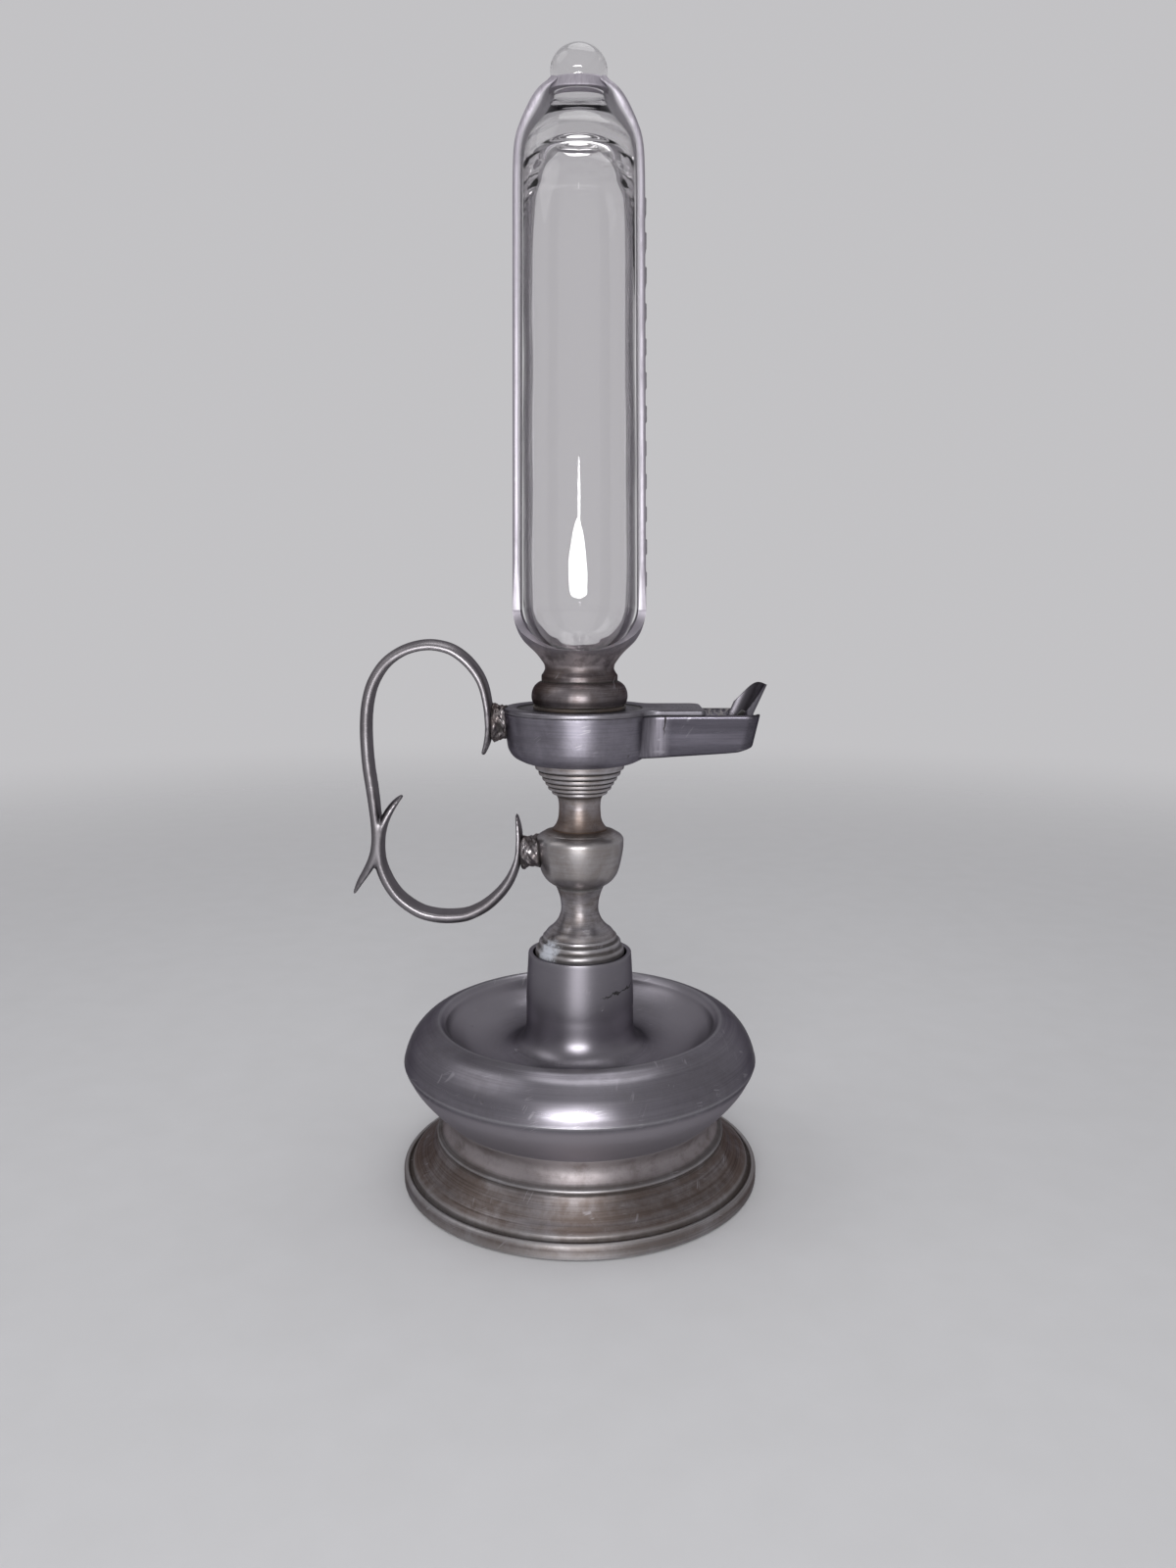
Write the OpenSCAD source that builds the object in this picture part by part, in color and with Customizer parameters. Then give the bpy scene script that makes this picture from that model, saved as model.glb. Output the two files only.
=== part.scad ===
// Oil lamp clock: pewter stand, oil font with wick spout, glass reservoir in a strap cage.
// Millimetres, +Z up, the lamp axis is X = Y = 0 and the foot stands on Z = 0.

/* [Foot and tray] */
// Foot diameter at the floor
foot_d = 114; // [96:1:130]
// Height of the foot up to the solder seam
foot_h = 23.9; // [20:0.1:30]
// How far the widest part of the drip tray stays inside the foot
tray_inset = 0.6; // [0:0.1:8]
// Diameter of the tray crease
tray_rim_d = 90.6; // [80:0.2:98]
// Height of the tray above the seam
tray_h = 28.4; // [24:0.1:34]
// Depth of the dish below the crease
dish_depth = 10; // [6:0.5:14]
// Outside diameter of the socket tube at its top
socket_d = 32.4; // [28:0.2:38]
// Height of the socket tube above the crease
socket_h = 21.1; // [16:0.1:28]

/* [Stem] */
// Height of the lower stem above the socket
lower_stem_h = 21.5; // [18:0.1:28]
// Thinnest diameter of the lower stem
lower_neck_d = 11.7; // [10:0.1:14]
// Knop diameter
knop_d = 27.6; // [24:0.1:32]
// Knop height
knop_h = 18.1; // [15:0.1:22]
// Height of the upper stem
upper_stem_h = 21.3; // [18:0.1:26]
// Thinnest diameter of the upper stem
upper_neck_d = 12.9; // [11:0.1:15]

/* [Font] */
// Font cup diameter at the top
font_d = 46.8; // [42:0.2:52]
// Font cup height under the cover
font_h = 15.5; // [14:0.1:20]
// Reach of the spout from the axis
spout_len = 54.7; // [50:0.1:62]
// Outside width of the spout
spout_w = 16.5; // [15:0.1:20]
// Sheet thickness of cup and spout
font_wall = 1.2; // [1:0.1:1.6]
// Reach of the cover from the axis
cover_len = 37.7; // [34:0.1:40]
// Cover thickness
cover_t = 1.5; // [1.2:0.1:2]

/* [Reservoir] */
// Spigot diameter
spigot_d = 18; // [15:0.2:20]
// Length of the spigot below the washer
spigot_len = 12; // [8:0.2:13]
// Diameter of the collar bead
bead_d = 29.8; // [28:0.1:34]
// Height of the collar from the washer to its front rim
collar_h = 17.4; // [15:0.1:22]
// Outside width of the cage at the bottom
cage_d = 40; // [38:0.2:44]
// Outside width of the cage at the shoulder
cage_top_d = 37.4; // [36:0.2:40]
// Height of the straight part of the straps
cage_h = 130; // [100:1:150]
// Strap width
strap_w = 13; // [10:0.5:15]
// Strap thickness
strap_t = 2.3; // [1.8:0.1:2.6]
// Glass wall thickness
glass_wall = 2; // [1.5:0.1:2.5]

/* [Hour scale] */
// Number of hour figures
hours = 12; // [8:1:12]
// Height of a figure
figure_h = 5.4; // [4:0.1:7]
// How far the figures stand proud
figure_raise = 0.6; // [0.4:0.1:1]

/* [Handle] */
// Reach of the handle from the axis
handle_reach = 71.6; // [66:0.2:80]
// Handle width
handle_w = 9; // [7:0.5:11]
// Handle thickness
handle_t = 3.2; // [2.6:0.1:4]
// Height of the upper lug above the cup floor
lug_up_h = 12.2; // [10:0.1:13]
// Height of the lower lug above the foot of the knop
lug_lo_h = 10.9; // [9:0.1:13]
// Lug radius
lug_r = 6.3; // [5:0.1:7]
// Space between the font and the handle
pad_up_gap = 4.4; // [3:0.1:6]
// Space between the knop and the handle
pad_lo_gap = 5.15; // [4:0.05:7]

/* [Hidden] */
$fn = 96;

// Clearances: sliding fit of loose parts, and the seating play under the reservoir
slide_gap = 0.3;
seat_gap = 0.05;

// Heights of the joints up the axis
z_seam = foot_h;
z_rim = z_seam + tray_h;
z_sock = z_rim + socket_h;
z_knop = z_sock + lower_stem_h;
z_up = z_knop + knop_h;
z_font = z_up + upper_stem_h;
z_cover = z_font + font_h;
z_top = z_cover + cover_t;
recess = 0.4 * cover_t;
washer_t = 1.2;
z_washer = z_top - recess + seat_gap;
z_collar = z_washer + washer_t + seat_gap;
z_dip = z_collar + collar_h;
z_root = z_collar + collar_h * 1.667;
z_shoulder = z_root + cage_h;

// Radii
foot_r = foot_d / 2;
tray_r = foot_r - tray_inset;
rim_r = tray_rim_d / 2;
seam_r = rim_r - 0.3;
shell = 2.2;
socket_r = socket_d / 2;
tenon_r = socket_r - 1.5;
stem_r = tenon_r - 0.6;
pin_r = tenon_r - 2.7;
knop_r = knop_d / 2;
ring_r = 0.97 * knop_r + 0.5;
font_r = font_d / 2;
spigot_r = spigot_d / 2;
bead_r = bead_d / 2;
cage_r = cage_d / 2;
cage_top_r = cage_top_d / 2;

// Socket ledge that carries the stem
ledge_z = z_sock - 11.4;
ledge_t = 4;

// Inner floors
cup_floor = z_font + 1.6;
trough_floor = z_font + 5.3;
trough_half = spout_w / 2 - font_wall;

// Smooth curve through a list of points
function between(a, b, c, d, t) = 0.5 * (2 * b + (c - a) * t + (2 * a - 5 * b + 4 * c - d) * t * t
    + (3 * b - a - 3 * c + d) * t * t * t);
function curve(p, n) = concat([for (i = [0:len(p) - 2], k = [0:n - 1])
    between(p[max(i - 1, 0)], p[i], p[i + 1], p[min(i + 2, len(p) - 1)], k / n)], [p[len(p) - 1]]);
// Points placed by fractions between two corner points
function span(a, b, q) = [for (f = q) [a[0] + (b[0] - a[0]) * f[0], a[1] + (b[1] - a[1]) * f[1]]];
function flip(p) = [for (i = [len(p) - 1:-1:0]) p[i]];

module turned(p) rotate_extrude() polygon(p);

// Foot: bead rim, groove, slope, small bead and coved neck, hollow underneath
slope_lo = [foot_r - 3, 0.234 * foot_h];
slope_hi = [seam_r + 0.9, 0.59 * foot_h];
neck_hi = [seam_r, z_seam];
foot_slope = curve(span(slope_lo, slope_hi, [[0, 0], [0.27, 0.19], [0.53, 0.41], [0.78, 0.69], [1, 1]]), 3);
foot_bead = [slope_hi, slope_hi + [0.3, 0.5], slope_hi + [0.2, 1.1], slope_hi + [-0.5, 1.6]];
foot_cove = curve(concat([slope_hi + [-1.1, 1.7]], span(slope_hi + [-1.1, 1.7], neck_hi + [-1.9, 0],
    [[1, 0.3], [1, 0.62]]), [neck_hi]), 4);

module foot() color("#77767b") turned(concat(
    [[foot_r - 3.6, 0], [foot_r, 0], [foot_r, 3.5], [foot_r - 0.25, 4.2], [foot_r - 0.7, 4.6],
        [foot_r - 1.4, 4.6], [foot_r - 1.9, 3.8], [foot_r - 2.6, 3.8]],
    foot_slope, foot_bead, foot_cove,
    [neck_hi - [3, 0], [seam_r - 4, z_seam - 4.5], slope_hi - [2.6, -1.4], slope_hi - [2.2, 1.6],
        [foot_r - 5.9, slope_lo[1] - 1.2], [foot_r - 3.6, 2.4]]));

// Drip tray: bowl, dished floor and socket tube in one casting
dish_z = z_rim - dish_depth;
bowl_max = [tray_r, z_seam + 0.54 * tray_h];
rim_pt = [rim_r, z_rim];
bowl_low = curve(span(neck_hi, bowl_max, [[0, 0], [0.38, 0.28], [0.72, 0.59], [0.925, 0.86], [1, 1]]), 4);
bowl_top = curve(span(bowl_max, rim_pt, [[0, 0], [0.08, 0.25], [0.24, 0.53], [0.52, 0.8], [1, 1]]), 4);
tube_lo = [socket_r + 0.8, dish_z + 17.5];
dish = curve(concat([rim_pt - [0.6, 0.1]], span(rim_pt, [tube_lo[0], dish_z],
    [[0.15, 0.46], [0.33, 0.82], [0.55, 1], [0.76, 1], [0.91, 0.8]]),
    [[tube_lo[0] + 0.5, dish_z + 6], [tube_lo[0] + 0.1, dish_z + 12], tube_lo, [socket_r, z_sock]]), 4);

module drip_tray() color("#84858c") turned(concat(
    bowl_low, bowl_top, dish,
    [[tenon_r, z_sock], [tenon_r, ledge_z], [pin_r, ledge_z], [pin_r, dish_z - shell]],
    span([pin_r, dish_z - shell], [rim_r, z_rim - shell - 0.8], [[0.52, 0], [0.72, 0.14], [0.87, 0.55], [0.995, 0.9]]),
    flip(span(neck_hi - [3, 0], bowl_max - [shell + 0.6, 0], [[0, 0], [0.42, 0.28], [0.75, 0.595], [1, 0.9],
        [0.97, 1.15], [0.84, 1.36], [0.56, 1.55]]))));

// Lower stem: tenon on the socket ledge, three base rings and a waisted neck
neck_lo_r = lower_neck_d / 2;
module lower_stem() color("#6f6b6c") turned(concat(
    [[0, ledge_z - ledge_t], [pin_r - 0.1, ledge_z - ledge_t], [pin_r - 0.1, ledge_z], [stem_r, ledge_z],
        [stem_r, z_sock], [stem_r - 0.25, z_sock + 1.6], [stem_r - 1.1, z_sock + 2.1],
        [stem_r - 1.15, z_sock + 3.5], [stem_r - 1.6, z_sock + 3.9], [stem_r - 2.3, z_sock + 4.0],
        [stem_r - 2.4, z_sock + 5.3]],
    curve(span([stem_r - 2.9, z_sock + 5.6], [neck_lo_r, z_knop],
        [[0, 0], [0.18, 0.09], [0.45, 0.165], [0.73, 0.27], [0.92, 0.4], [1, 0.53], [0.96, 0.71],
            [0.83, 0.87], [0.67, 1]]), 3),
    [[0, z_knop]]));

// Knop: bowl-shaped below, sharp shoulder above
module knop() color("#757377") turned(concat([[0, z_knop], [neck_lo_r + 2.0, z_knop]],
    curve(span([neck_lo_r + 2.3, z_knop], [knop_r, z_up],
        [[0, 0.02], [0.38, 0.105], [0.67, 0.235], [0.84, 0.41], [0.96, 0.61], [1, 0.76], [0.98, 0.84],
            [0.82, 0.9], [0.55, 0.945]]), 3),
    [[knop_r - 5.1, z_up], [0, z_up]]));

// Upper stem: waisted neck and stepped rings below the font
neck_up_r = upper_neck_d / 2;
module upper_stem() color("#6d696b") turned(concat([[0, z_up]],
    curve(span([knop_r - 5.1, z_up], [neck_up_r, z_font],
        [[0, 0], [0.5, 0.065], [0.85, 0.15], [0.98, 0.26], [1, 0.37], [0.86, 0.46], [0.62, 0.51]]), 3),
    span([neck_up_r, z_up], [ring_r, z_font],
        [[0.26, 0.53], [0.26, 0.575], [0.42, 0.59], [0.43, 0.645], [0.52, 0.66], [0.52, 0.71], [0.62, 0.73],
            [0.65, 0.79], [0.77, 0.81], [0.80, 0.86], [0.93, 0.89], [0.97, 0.96], [1.03, 1]]),
    [[0, z_font]]));

// Font cup: round bottom edge, slightly flared wall, open towards the spout
cup_side = curve(span([ring_r + 0.6, z_font], [font_r, z_cover],
    [[0, 0], [0.24, 0.005], [0.47, 0.06], [0.67, 0.13], [0.82, 0.25], [0.89, 0.41], [1, 1]]), 3);
module cup_solid() turned(concat([[0, z_font]], cup_side, [[0, z_cover]]));
module cup_cutter() turned(concat([[0, z_font]], cup_side, [[font_r, z_cover + 5], [0, z_cover + 5]]));
module cup_hollow() turned(concat([[0, cup_floor]],
    [for (p = cup_side) if (p[1] > cup_floor + 0.6) [p[0] - font_wall - 0.4, p[1]]],
    [[font_r - font_wall - 0.4, z_cover + 1], [0, z_cover + 1]]));
module font_cup() color("#82838a") difference() {
    cup_solid();
    cup_hollow();
    translate([0, -trough_half, trough_floor])
        cube([font_r + 5, 2 * trough_half, z_cover - trough_floor + 1]);
}

// Spout: straight trough with a sloping underside and a raked end wall, rounded into the cup
end_rake = 2.2;
root_r = 6;
root_x = sqrt(pow(font_r + root_r, 2) - pow(spout_w / 2 + root_r, 2));
root_a = atan2(spout_w / 2 + root_r, root_x);
root_line = [for (k = [0:8]) let (a = 180 - root_a + (root_a - 90) * k / 8)
    [root_x + root_r * cos(a), -spout_w / 2 - root_r + root_r * sin(a)]];
function other_side(p) = [for (q = flip(p)) [q[0], -q[1]]];
root_half = concat([0.8 * root_line[0]], root_line);
module root_plan() polygon(concat(root_half, other_side(root_half)));
under_in = z_font + 1.9;
under_out = z_font + 4.1;
corner_r = 4;
plan_end = spout_len + 1;
hollow_r = corner_r - font_wall;
function plan(half, r, x) = concat([[0, -half]],
    [for (a = [-90:15:0]) [x - r + r * cos(a), -half + r + r * sin(a)]],
    [for (a = [0:15:90]) [x - r + r * cos(a), half - r + r * sin(a)]], [[0, half]]);
module side_prism(p) rotate([90, 0, 0]) linear_extrude(height = 2 * spout_w, center = true) polygon(p);
module spout() color("#7c7d84") difference() {
    intersection() {
        translate([0, 0, z_font]) linear_extrude(height = font_h) union() {
            polygon(plan(spout_w / 2, corner_r, plan_end));
            root_plan();
        }
        side_prism([[0, under_in - 0.8], [spout_len - end_rake - 2.2, under_out],
            [spout_len - end_rake - 0.4, under_out + 1], [spout_len, z_cover],
            [spout_len + end_rake, 2 * z_cover - trough_floor], [0, 2 * z_cover - trough_floor]]);
    }
    intersection() {
        translate([0, 0, trough_floor]) linear_extrude(height = font_h) polygon(plan(trough_half, hollow_r, plan_end - font_wall));
        side_prism([[0, trough_floor - 1], [spout_len - font_wall - end_rake, trough_floor - 1],
            [spout_len - font_wall - end_rake, trough_floor], [spout_len - font_wall, z_cover],
            [spout_len - font_wall + end_rake, 2 * z_cover - trough_floor], [0, 2 * z_cover - trough_floor]]);
    }
    cup_cutter();
    // Notch in the end wall for the wick rest
    translate([spout_len - 6, -gutter_r - slide_gap, z_cover - 3.6])
        cube([10, 2 * (gutter_r + slide_gap), 10]);
}

// Cover: keyhole plate with a recessed seat and the spigot hole
seat_r = font_r - 4;
cover_corner = 3;
module font_cover() color("#85868d") difference() {
    translate([0, 0, z_cover]) linear_extrude(height = cover_t) union() {
        circle(r = font_r);
        root_plan();
        polygon(concat([[0, -spout_w / 2], [cover_len, -spout_w / 2]],
            [for (a = [0:15:90]) [cover_len - cover_corner + cover_corner * cos(a),
                spout_w / 2 - cover_corner + cover_corner * sin(a)]], [[0, spout_w / 2]]));
    }
    translate([0, 0, z_top - recess]) cylinder(h = 5, r = seat_r);
    translate([0, 0, z_cover - 1]) cylinder(h = 10, r = spigot_r + slide_gap);
}

// Handle: two swept D-section scrolls, cast as one
handle_y = handle_w / 2;
lug_up_z = z_font + lug_up_h;
lug_lo_z = z_knop + lug_lo_h;
pad_up = font_r + pad_up_gap;
pad_lo = knop_r + pad_lo_gap;
function hz(z) = lug_lo_z + (z - 105.8) * (lug_up_z - lug_lo_z) / 40.7;
function up_pt(p) = [-pad_up - (p[0] - 27.8) * (handle_reach - pad_up) / 43.8, hz(p[1])];
function lo_pt(p) = [-pad_lo - (p[0] - 18.95) * (handle_reach - pad_lo) / 52.65, hz(p[1])];
// Each row: distance from the axis, height, thickness share, width share, at the default size
up_rows = [[29.7, 137.0, 0.4, 0.55], [28.5, 140.3, 0.62, 0.75], [27.8, 144.2, 0.72, 0.9], [27.8, 149, 0.8, 1],
    [28.3, 153.5, 0.85, 1], [29.4, 158.2, 0.9, 1], [31.4, 162.2, 0.95, 1], [34.7, 166.1, 1, 1],
    [38.8, 169, 1, 1], [43.3, 170.3, 1, 1], [47.4, 170.4, 1, 1], [51.9, 169.4, 1, 1], [56, 167.5, 1, 1],
    [59.6, 164.7, 1, 1], [62.4, 161, 1, 1], [64.4, 156.7, 1, 1], [65.7, 151, 1, 1], [66.2, 144.5, 1, 1],
    [66.1, 138, 1, 1], [65.7, 132, 1, 1], [65, 126.5, 1, 1], [64.4, 121, 0.95, 1], [63.9, 115, 0.9, 1],
    [63.8, 110, 0.9, 1], [64.3, 106, 0.9, 1], [65.5, 102.5, 0.85, 0.95], [67.2, 99.3, 0.78, 0.85],
    [69.3, 96, 0.6, 0.72], [71.2, 92.3, 0.25, 0.55]];
lo_rows = [[55.5, 123.6, 0.3, 0.55], [57.6, 121.4, 0.6, 0.75], [59.7, 118.5, 0.75, 0.9], [61.5, 115, 0.8, 1],
    [62.7, 111, 0.85, 1], [63.2, 106.5, 0.9, 1], [62.9, 102, 0.95, 1], [61.6, 97.8, 1, 1], [59.6, 93.9, 1, 1],
    [57, 90.6, 1, 1], [53.3, 87.6, 1.02, 1], [49.2, 85.5, 1.05, 1], [43.4, 84.4, 1.08, 1],
    [37.2, 84.7, 1.05, 1], [33.2, 86, 1, 1], [29.1, 88.4, 1, 1], [25.4, 91.8, 0.95, 1], [22.6, 95.4, 0.9, 1],
    [20.6, 99.4, 0.8, 1], [19.2, 104, 0.72, 0.95], [18.8, 109, 0.66, 0.85], [19, 113.5, 0.55, 0.7],
    [19.6, 117.4, 0.3, 0.5]];
// Section corners as shares of the width and the thickness, crowned on the outer side
d_section = [[1, -0.5], [1, 0], [0.8, 0.24], [0.45, 0.43], [0, 0.5], [-0.45, 0.43], [-0.8, 0.24], [-1, 0],
    [-1, -0.5]];
function unit(v) = v / norm(v);
// Sweeps a ring of section points along a path in the XZ plane, one size per path point
module sweep(path, ring, sizes) {
    n = len(path);
    m = len(ring);
    tang = [for (i = [0:n - 1]) unit(path[min(i + 1, n - 1)] - path[max(i - 1, 0)])];
    pts = [for (i = [0:n - 1], s = ring) [path[i][0] + tang[i][1] * s[1] * sizes[i][0],
        s[0] * sizes[i][1], path[i][1] - tang[i][0] * s[1] * sizes[i][0]]];
    walls = [for (i = [0:n - 2], k = [0:m - 1]) each [[i * m + k, i * m + (k + 1) % m, (i + 1) * m + k],
        [i * m + (k + 1) % m, (i + 1) * m + (k + 1) % m, (i + 1) * m + k]]];
    polyhedron(points = pts, faces = concat(walls, [[for (k = [m - 1:-1:0]) k]],
        [[for (k = [0:m - 1]) (n - 1) * m + k]]), convexity = 8);
}
module scroll(rows, path) sweep(path, d_section,
    curve([for (r = rows) [r[2] * handle_t, r[3] * handle_y]], 3));
module scroll_handle() color("#77777c") union() {
    scroll(up_rows, curve([for (r = up_rows) up_pt(r)], 3));
    scroll(lo_rows, curve([for (r = lo_rows) lo_pt(r)], 3));
}

// Solder bosses between handle and lamp, turned shapes along X
module boss(x0, x1, r) rotate([0, 90, 0]) turned([[0, x0], [r, x0], [0.99 * r, x0 + 0.2 * (x1 - x0)],
    [0.9 * r, x0 + 0.45 * (x1 - x0)], [0.93 * r, x0 + 0.7 * (x1 - x0)], [0.97 * r, x1], [0, x1]]);
module upper_lug() color("#6c6a6c") difference() {
    translate([0, 0, lug_up_z]) boss(-pad_up + 0.5, -font_r + 4, min(lug_r, z_cover - lug_up_z + 3.2));
    cup_cutter();
}
module lower_lug() color("#6c6a6c") difference() {
    translate([0, 0, lug_lo_z]) boss(-pad_lo + 0.3, -knop_r + 5, lug_r);
    knop();
}

// Wick rest: half-round gutter that lies in the trough and leans out over its end
gutter_r = 6.2;
gutter_t = 0.8;
gutter_bend = 3;
lean = 66;
rest_z = trough_floor + seat_gap;
lean_x = spout_len - 0.9;
bend_z = rest_z + gutter_r + gutter_bend;
bend_x = lean_x - (z_cover - bend_z + (gutter_r + gutter_bend) * cos(lean)) / tan(lean)
    - (gutter_r + gutter_bend) * sin(lean);
rest_len = 9.5;
tip_z = z_cover + 8.8;
lean_len = (tip_z + 6 - bend_z) / sin(lean);
// Path of the gutter axis: along the trough, round the bend and up the lean
function wick_path(back, up) = concat([[bend_x - back, bend_z - gutter_bend]],
    [for (a = [0:lean / 8:lean + 0.01]) [bend_x + gutter_bend * sin(a), bend_z - gutter_bend * cos(a)]],
    [[bend_x + gutter_bend * sin(lean) + up * cos(lean), bend_z - gutter_bend * cos(lean) + up * sin(lean)]]);
// Sections: first across, then away from the open side
gutter_in = gutter_r - gutter_t;
channel = concat([for (a = [0:15:180]) gutter_r * [cos(a), sin(a)]], [for (a = [180:-15:0]) gutter_in * [cos(a), sin(a)]]);
function rest_cut(p) = concat([[lean_x - 30, tip_z + p[0][1]]], [for (q = curve(p, 4)) [lean_x + q[0], tip_z + q[1]]],
    [[lean_x + 9, tip_z - 1.2], [lean_x + 9, tip_z + 40], [lean_x - 30, tip_z + 40]]);
module half_prism(side, p) intersection() {
    side_prism(p);
    translate([lean_x - 50, side > 0 ? 0 : -spout_w, z_font]) cube([100, spout_w, 100]);
}
module wick_rest() color("#8b8c93") difference() {
    sweep(wick_path(rest_len, lean_len), channel, [for (i = [0:10]) [1, 1]]);
    // Cuts that lower the side walls towards the rounded tip, the front wall more than the back one
    half_prism(1, rest_cut([[-6.6, -8.2], [-2.6, -2.9], [-0.7, -0.6], [1, 0.15], [2.6, 0], [5, -1.2]]));
    half_prism(-1, rest_cut([[-8.3, -12.6], [-5.8, -11.1], [-3.3, -8.7], [-0.8, -5.7], [0.3, -2.8], [2.3, -0.6], [3.2, -0.15], [5, -1.2]]));
}

// Wick: round cotton cord in the gutter
wick_r = 1.8;
wick_drop = gutter_in - wick_r;
module wick() color("#c9c2b2") sweep(wick_path(rest_len + 6, lean_len - 12.5),
    [for (a = [0:22.5:337.5]) [wick_r * cos(a), wick_drop + wick_r * sin(a)]], [for (i = [0:10]) [1, 1]]);

// Washer that the reservoir stands on
module seat_washer() color("#3a332f") translate([0, 0, z_washer]) difference() {
    cylinder(h = washer_t, r = bead_r - 0.7);
    translate([0, 0, -1]) cylinder(h = washer_t + 2, r = spigot_r + slide_gap);
}

// Collar: spigot, bead, ring, waist and a cup that rises into two strap roots
bore_r = spigot_r - 2.5;
lip_z = z_collar + 5.5;
waist_z = z_collar + 0.65 * collar_h;
waist_r = bead_r - 4.3;
neck_r = waist_r - 1.7;
root_in = cage_r - strap_t;
flare_out = curve(span([waist_r, waist_z], [cage_r, z_root],
    [[0, 0], [0.02, 0.06], [0.085, 0.115], [0.20, 0.2], [0.34, 0.285], [0.51, 0.37], [0.67, 0.455], [0.78, 0.54],
        [0.865, 0.625], [0.92, 0.71], [0.96, 0.79], [0.985, 0.89], [1, 1]]), 3);
flare_in = curve(span([neck_r, waist_z + 0.5], [root_in, z_root],
    [[0, 0], [0.08, 0.12], [0.26, 0.25], [0.49, 0.38], [0.68, 0.49], [0.82, 0.61], [0.91, 0.74], [0.97, 0.87],
        [1, 1]]), 3);
module collar_turned() turned(concat(
    [[bore_r, z_top - recess - spigot_len], [spigot_r, z_top - recess - spigot_len], [spigot_r, z_collar],
        [bead_r - 1, z_collar], [bead_r - 1, z_collar + 0.5]],
    curve(span([bead_r - 0.6, z_collar + 0.6], [waist_r + 1.1, z_collar + 0.42 * collar_h],
        [[0, 0], [-0.18, 0.22], [-0.14, 0.5], [0.15, 0.77], [0.62, 0.94], [0.96, 1]]), 3),
    [[waist_r + 1.05, z_collar + 0.435 * collar_h], [waist_r + 1.05, z_collar + 0.53 * collar_h],
        [waist_r + 0.5, z_collar + 0.57 * collar_h]],
    flare_out, flip(flare_in), [[neck_r, lip_z], [bore_r, lip_z]]));
// Outline across Y: the front rim rises in a smooth sag into two roots as wide as the straps
rim_front = cage_r * 0.75;
function sag(t) = 1 - pow(1 - pow(t, 1.6), 0.625);
rim_side = [for (k = [0:12]) let (t = sin(k * 7.5)) [rim_front - t * (rim_front - strap_w / 2),
    z_dip + sag(t) * (z_root - z_dip)]];
module root_shape() polygon(concat([[-cage_d, 0], [cage_d, 0], [cage_d, z_dip]], rim_side,
    [for (p = flip(rim_side)) [-p[0], p[1]]], [[-cage_d, z_dip]]));
module reservoir_collar() color("#6e6a6a") intersection() {
    collar_turned();
    rotate([90, 0, 90]) linear_extrude(height = 2 * cage_d, center = true) root_shape();
}

// Straps: straight rise, shoulder and slope that ends flush on the crown ring
crown_hole = 8.6;
crown_r = crown_hole + 1.8;
crown_t = 3.2;
z_crown = z_shoulder + 13.8;
rise_top = z_crown + crown_t - 0.15;
function strap_out() = concat([[cage_r, z_root], [cage_top_r + 0.1, z_shoulder - 12], [cage_top_r - 0.2, z_shoulder]],
    curve([[cage_top_r - 0.3, z_shoulder + 1.5], [cage_top_r - 0.95, z_shoulder + 5],
        [cage_top_r - 3.7, z_shoulder + 10.4], [crown_r + 0.5, rise_top - 0.7], [crown_r - 0.5, rise_top]], 3));
module strap() difference() {
    rotate([90, 0, 0]) linear_extrude(height = strap_w, center = true) polygon(concat(strap_out(),
        [[crown_r - 4, rise_top], [crown_r - 4, z_crown + 1]],
        flip(curve([[cage_top_r - 0.3 - strap_t, z_shoulder + 1.2], [cage_top_r - 0.8 - strap_t, z_shoulder + 4.2],
            [cage_top_r - 3.35 - strap_t, z_shoulder + 9.2], [crown_r - 1.2, z_crown + 1]], 3)),
        [[cage_top_r - 0.2 - strap_t, z_shoulder], [cage_top_r + 0.1 - strap_t, z_shoulder - 12],
            [cage_r - strap_t, z_root]]));
    translate([0, 0, z_shoulder]) cylinder(h = 40, r = crown_r);
}
module plain_strap() color("#75747a") mirror([1, 0, 0]) strap();
module scale_strap() color("#75747a") strap();

// Crown ring around the glass knob
module crown_ring() color("#75747a") translate([0, 0, z_crown]) difference() {
    cylinder(h = crown_t, r = crown_r);
    translate([0, 0, -1]) cylinder(h = crown_t + 2, r = crown_hole);
}

// Hour figures: raised Roman numerals on the outer face of the scale strap
stroke = 0.9;
gap = 0.7;
letter_w = 3.5;
numerals = ["VI", "VII", "VIII", "IX", "X", "XI", "XII", "I", "II", "III", "IIII", "V"];
function glyph_w(c) = c == "I" ? stroke : letter_w;
function word_w(s, i) = i == 0 ? 0 : word_w(s, i - 1) + glyph_w(s[i - 1]) + gap;
module glyph(c) {
    w = letter_w;
    s = stroke + 0.15;
    h = figure_h;
    t = (w - 2 * s) / (2 * (w - s));
    if (c == "I") square([stroke, h]);
    if (c == "V") polygon([[0, h], [(w - s) / 2, 0], [(w + s) / 2, 0], [w, h], [w - s, h], [w / 2, h * s / (w - s)],
        [s, h]]);
    if (c == "X") polygon([[0, 0], [s, 0], [w / 2, t * h], [w - s, 0], [w, 0], [(w + s) / 2, h / 2], [w, h], [w - s, h],
        [w / 2, (1 - t) * h], [s, h], [0, h], [(w - s) / 2, h / 2]]);
}
strap_lean = atan((cage_r - cage_top_r - 0.1) / (cage_h - 12));
scale_lo = 9;
pitch = (cage_h - 12 - figure_h - scale_lo + 2) / (hours - 1);
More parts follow.
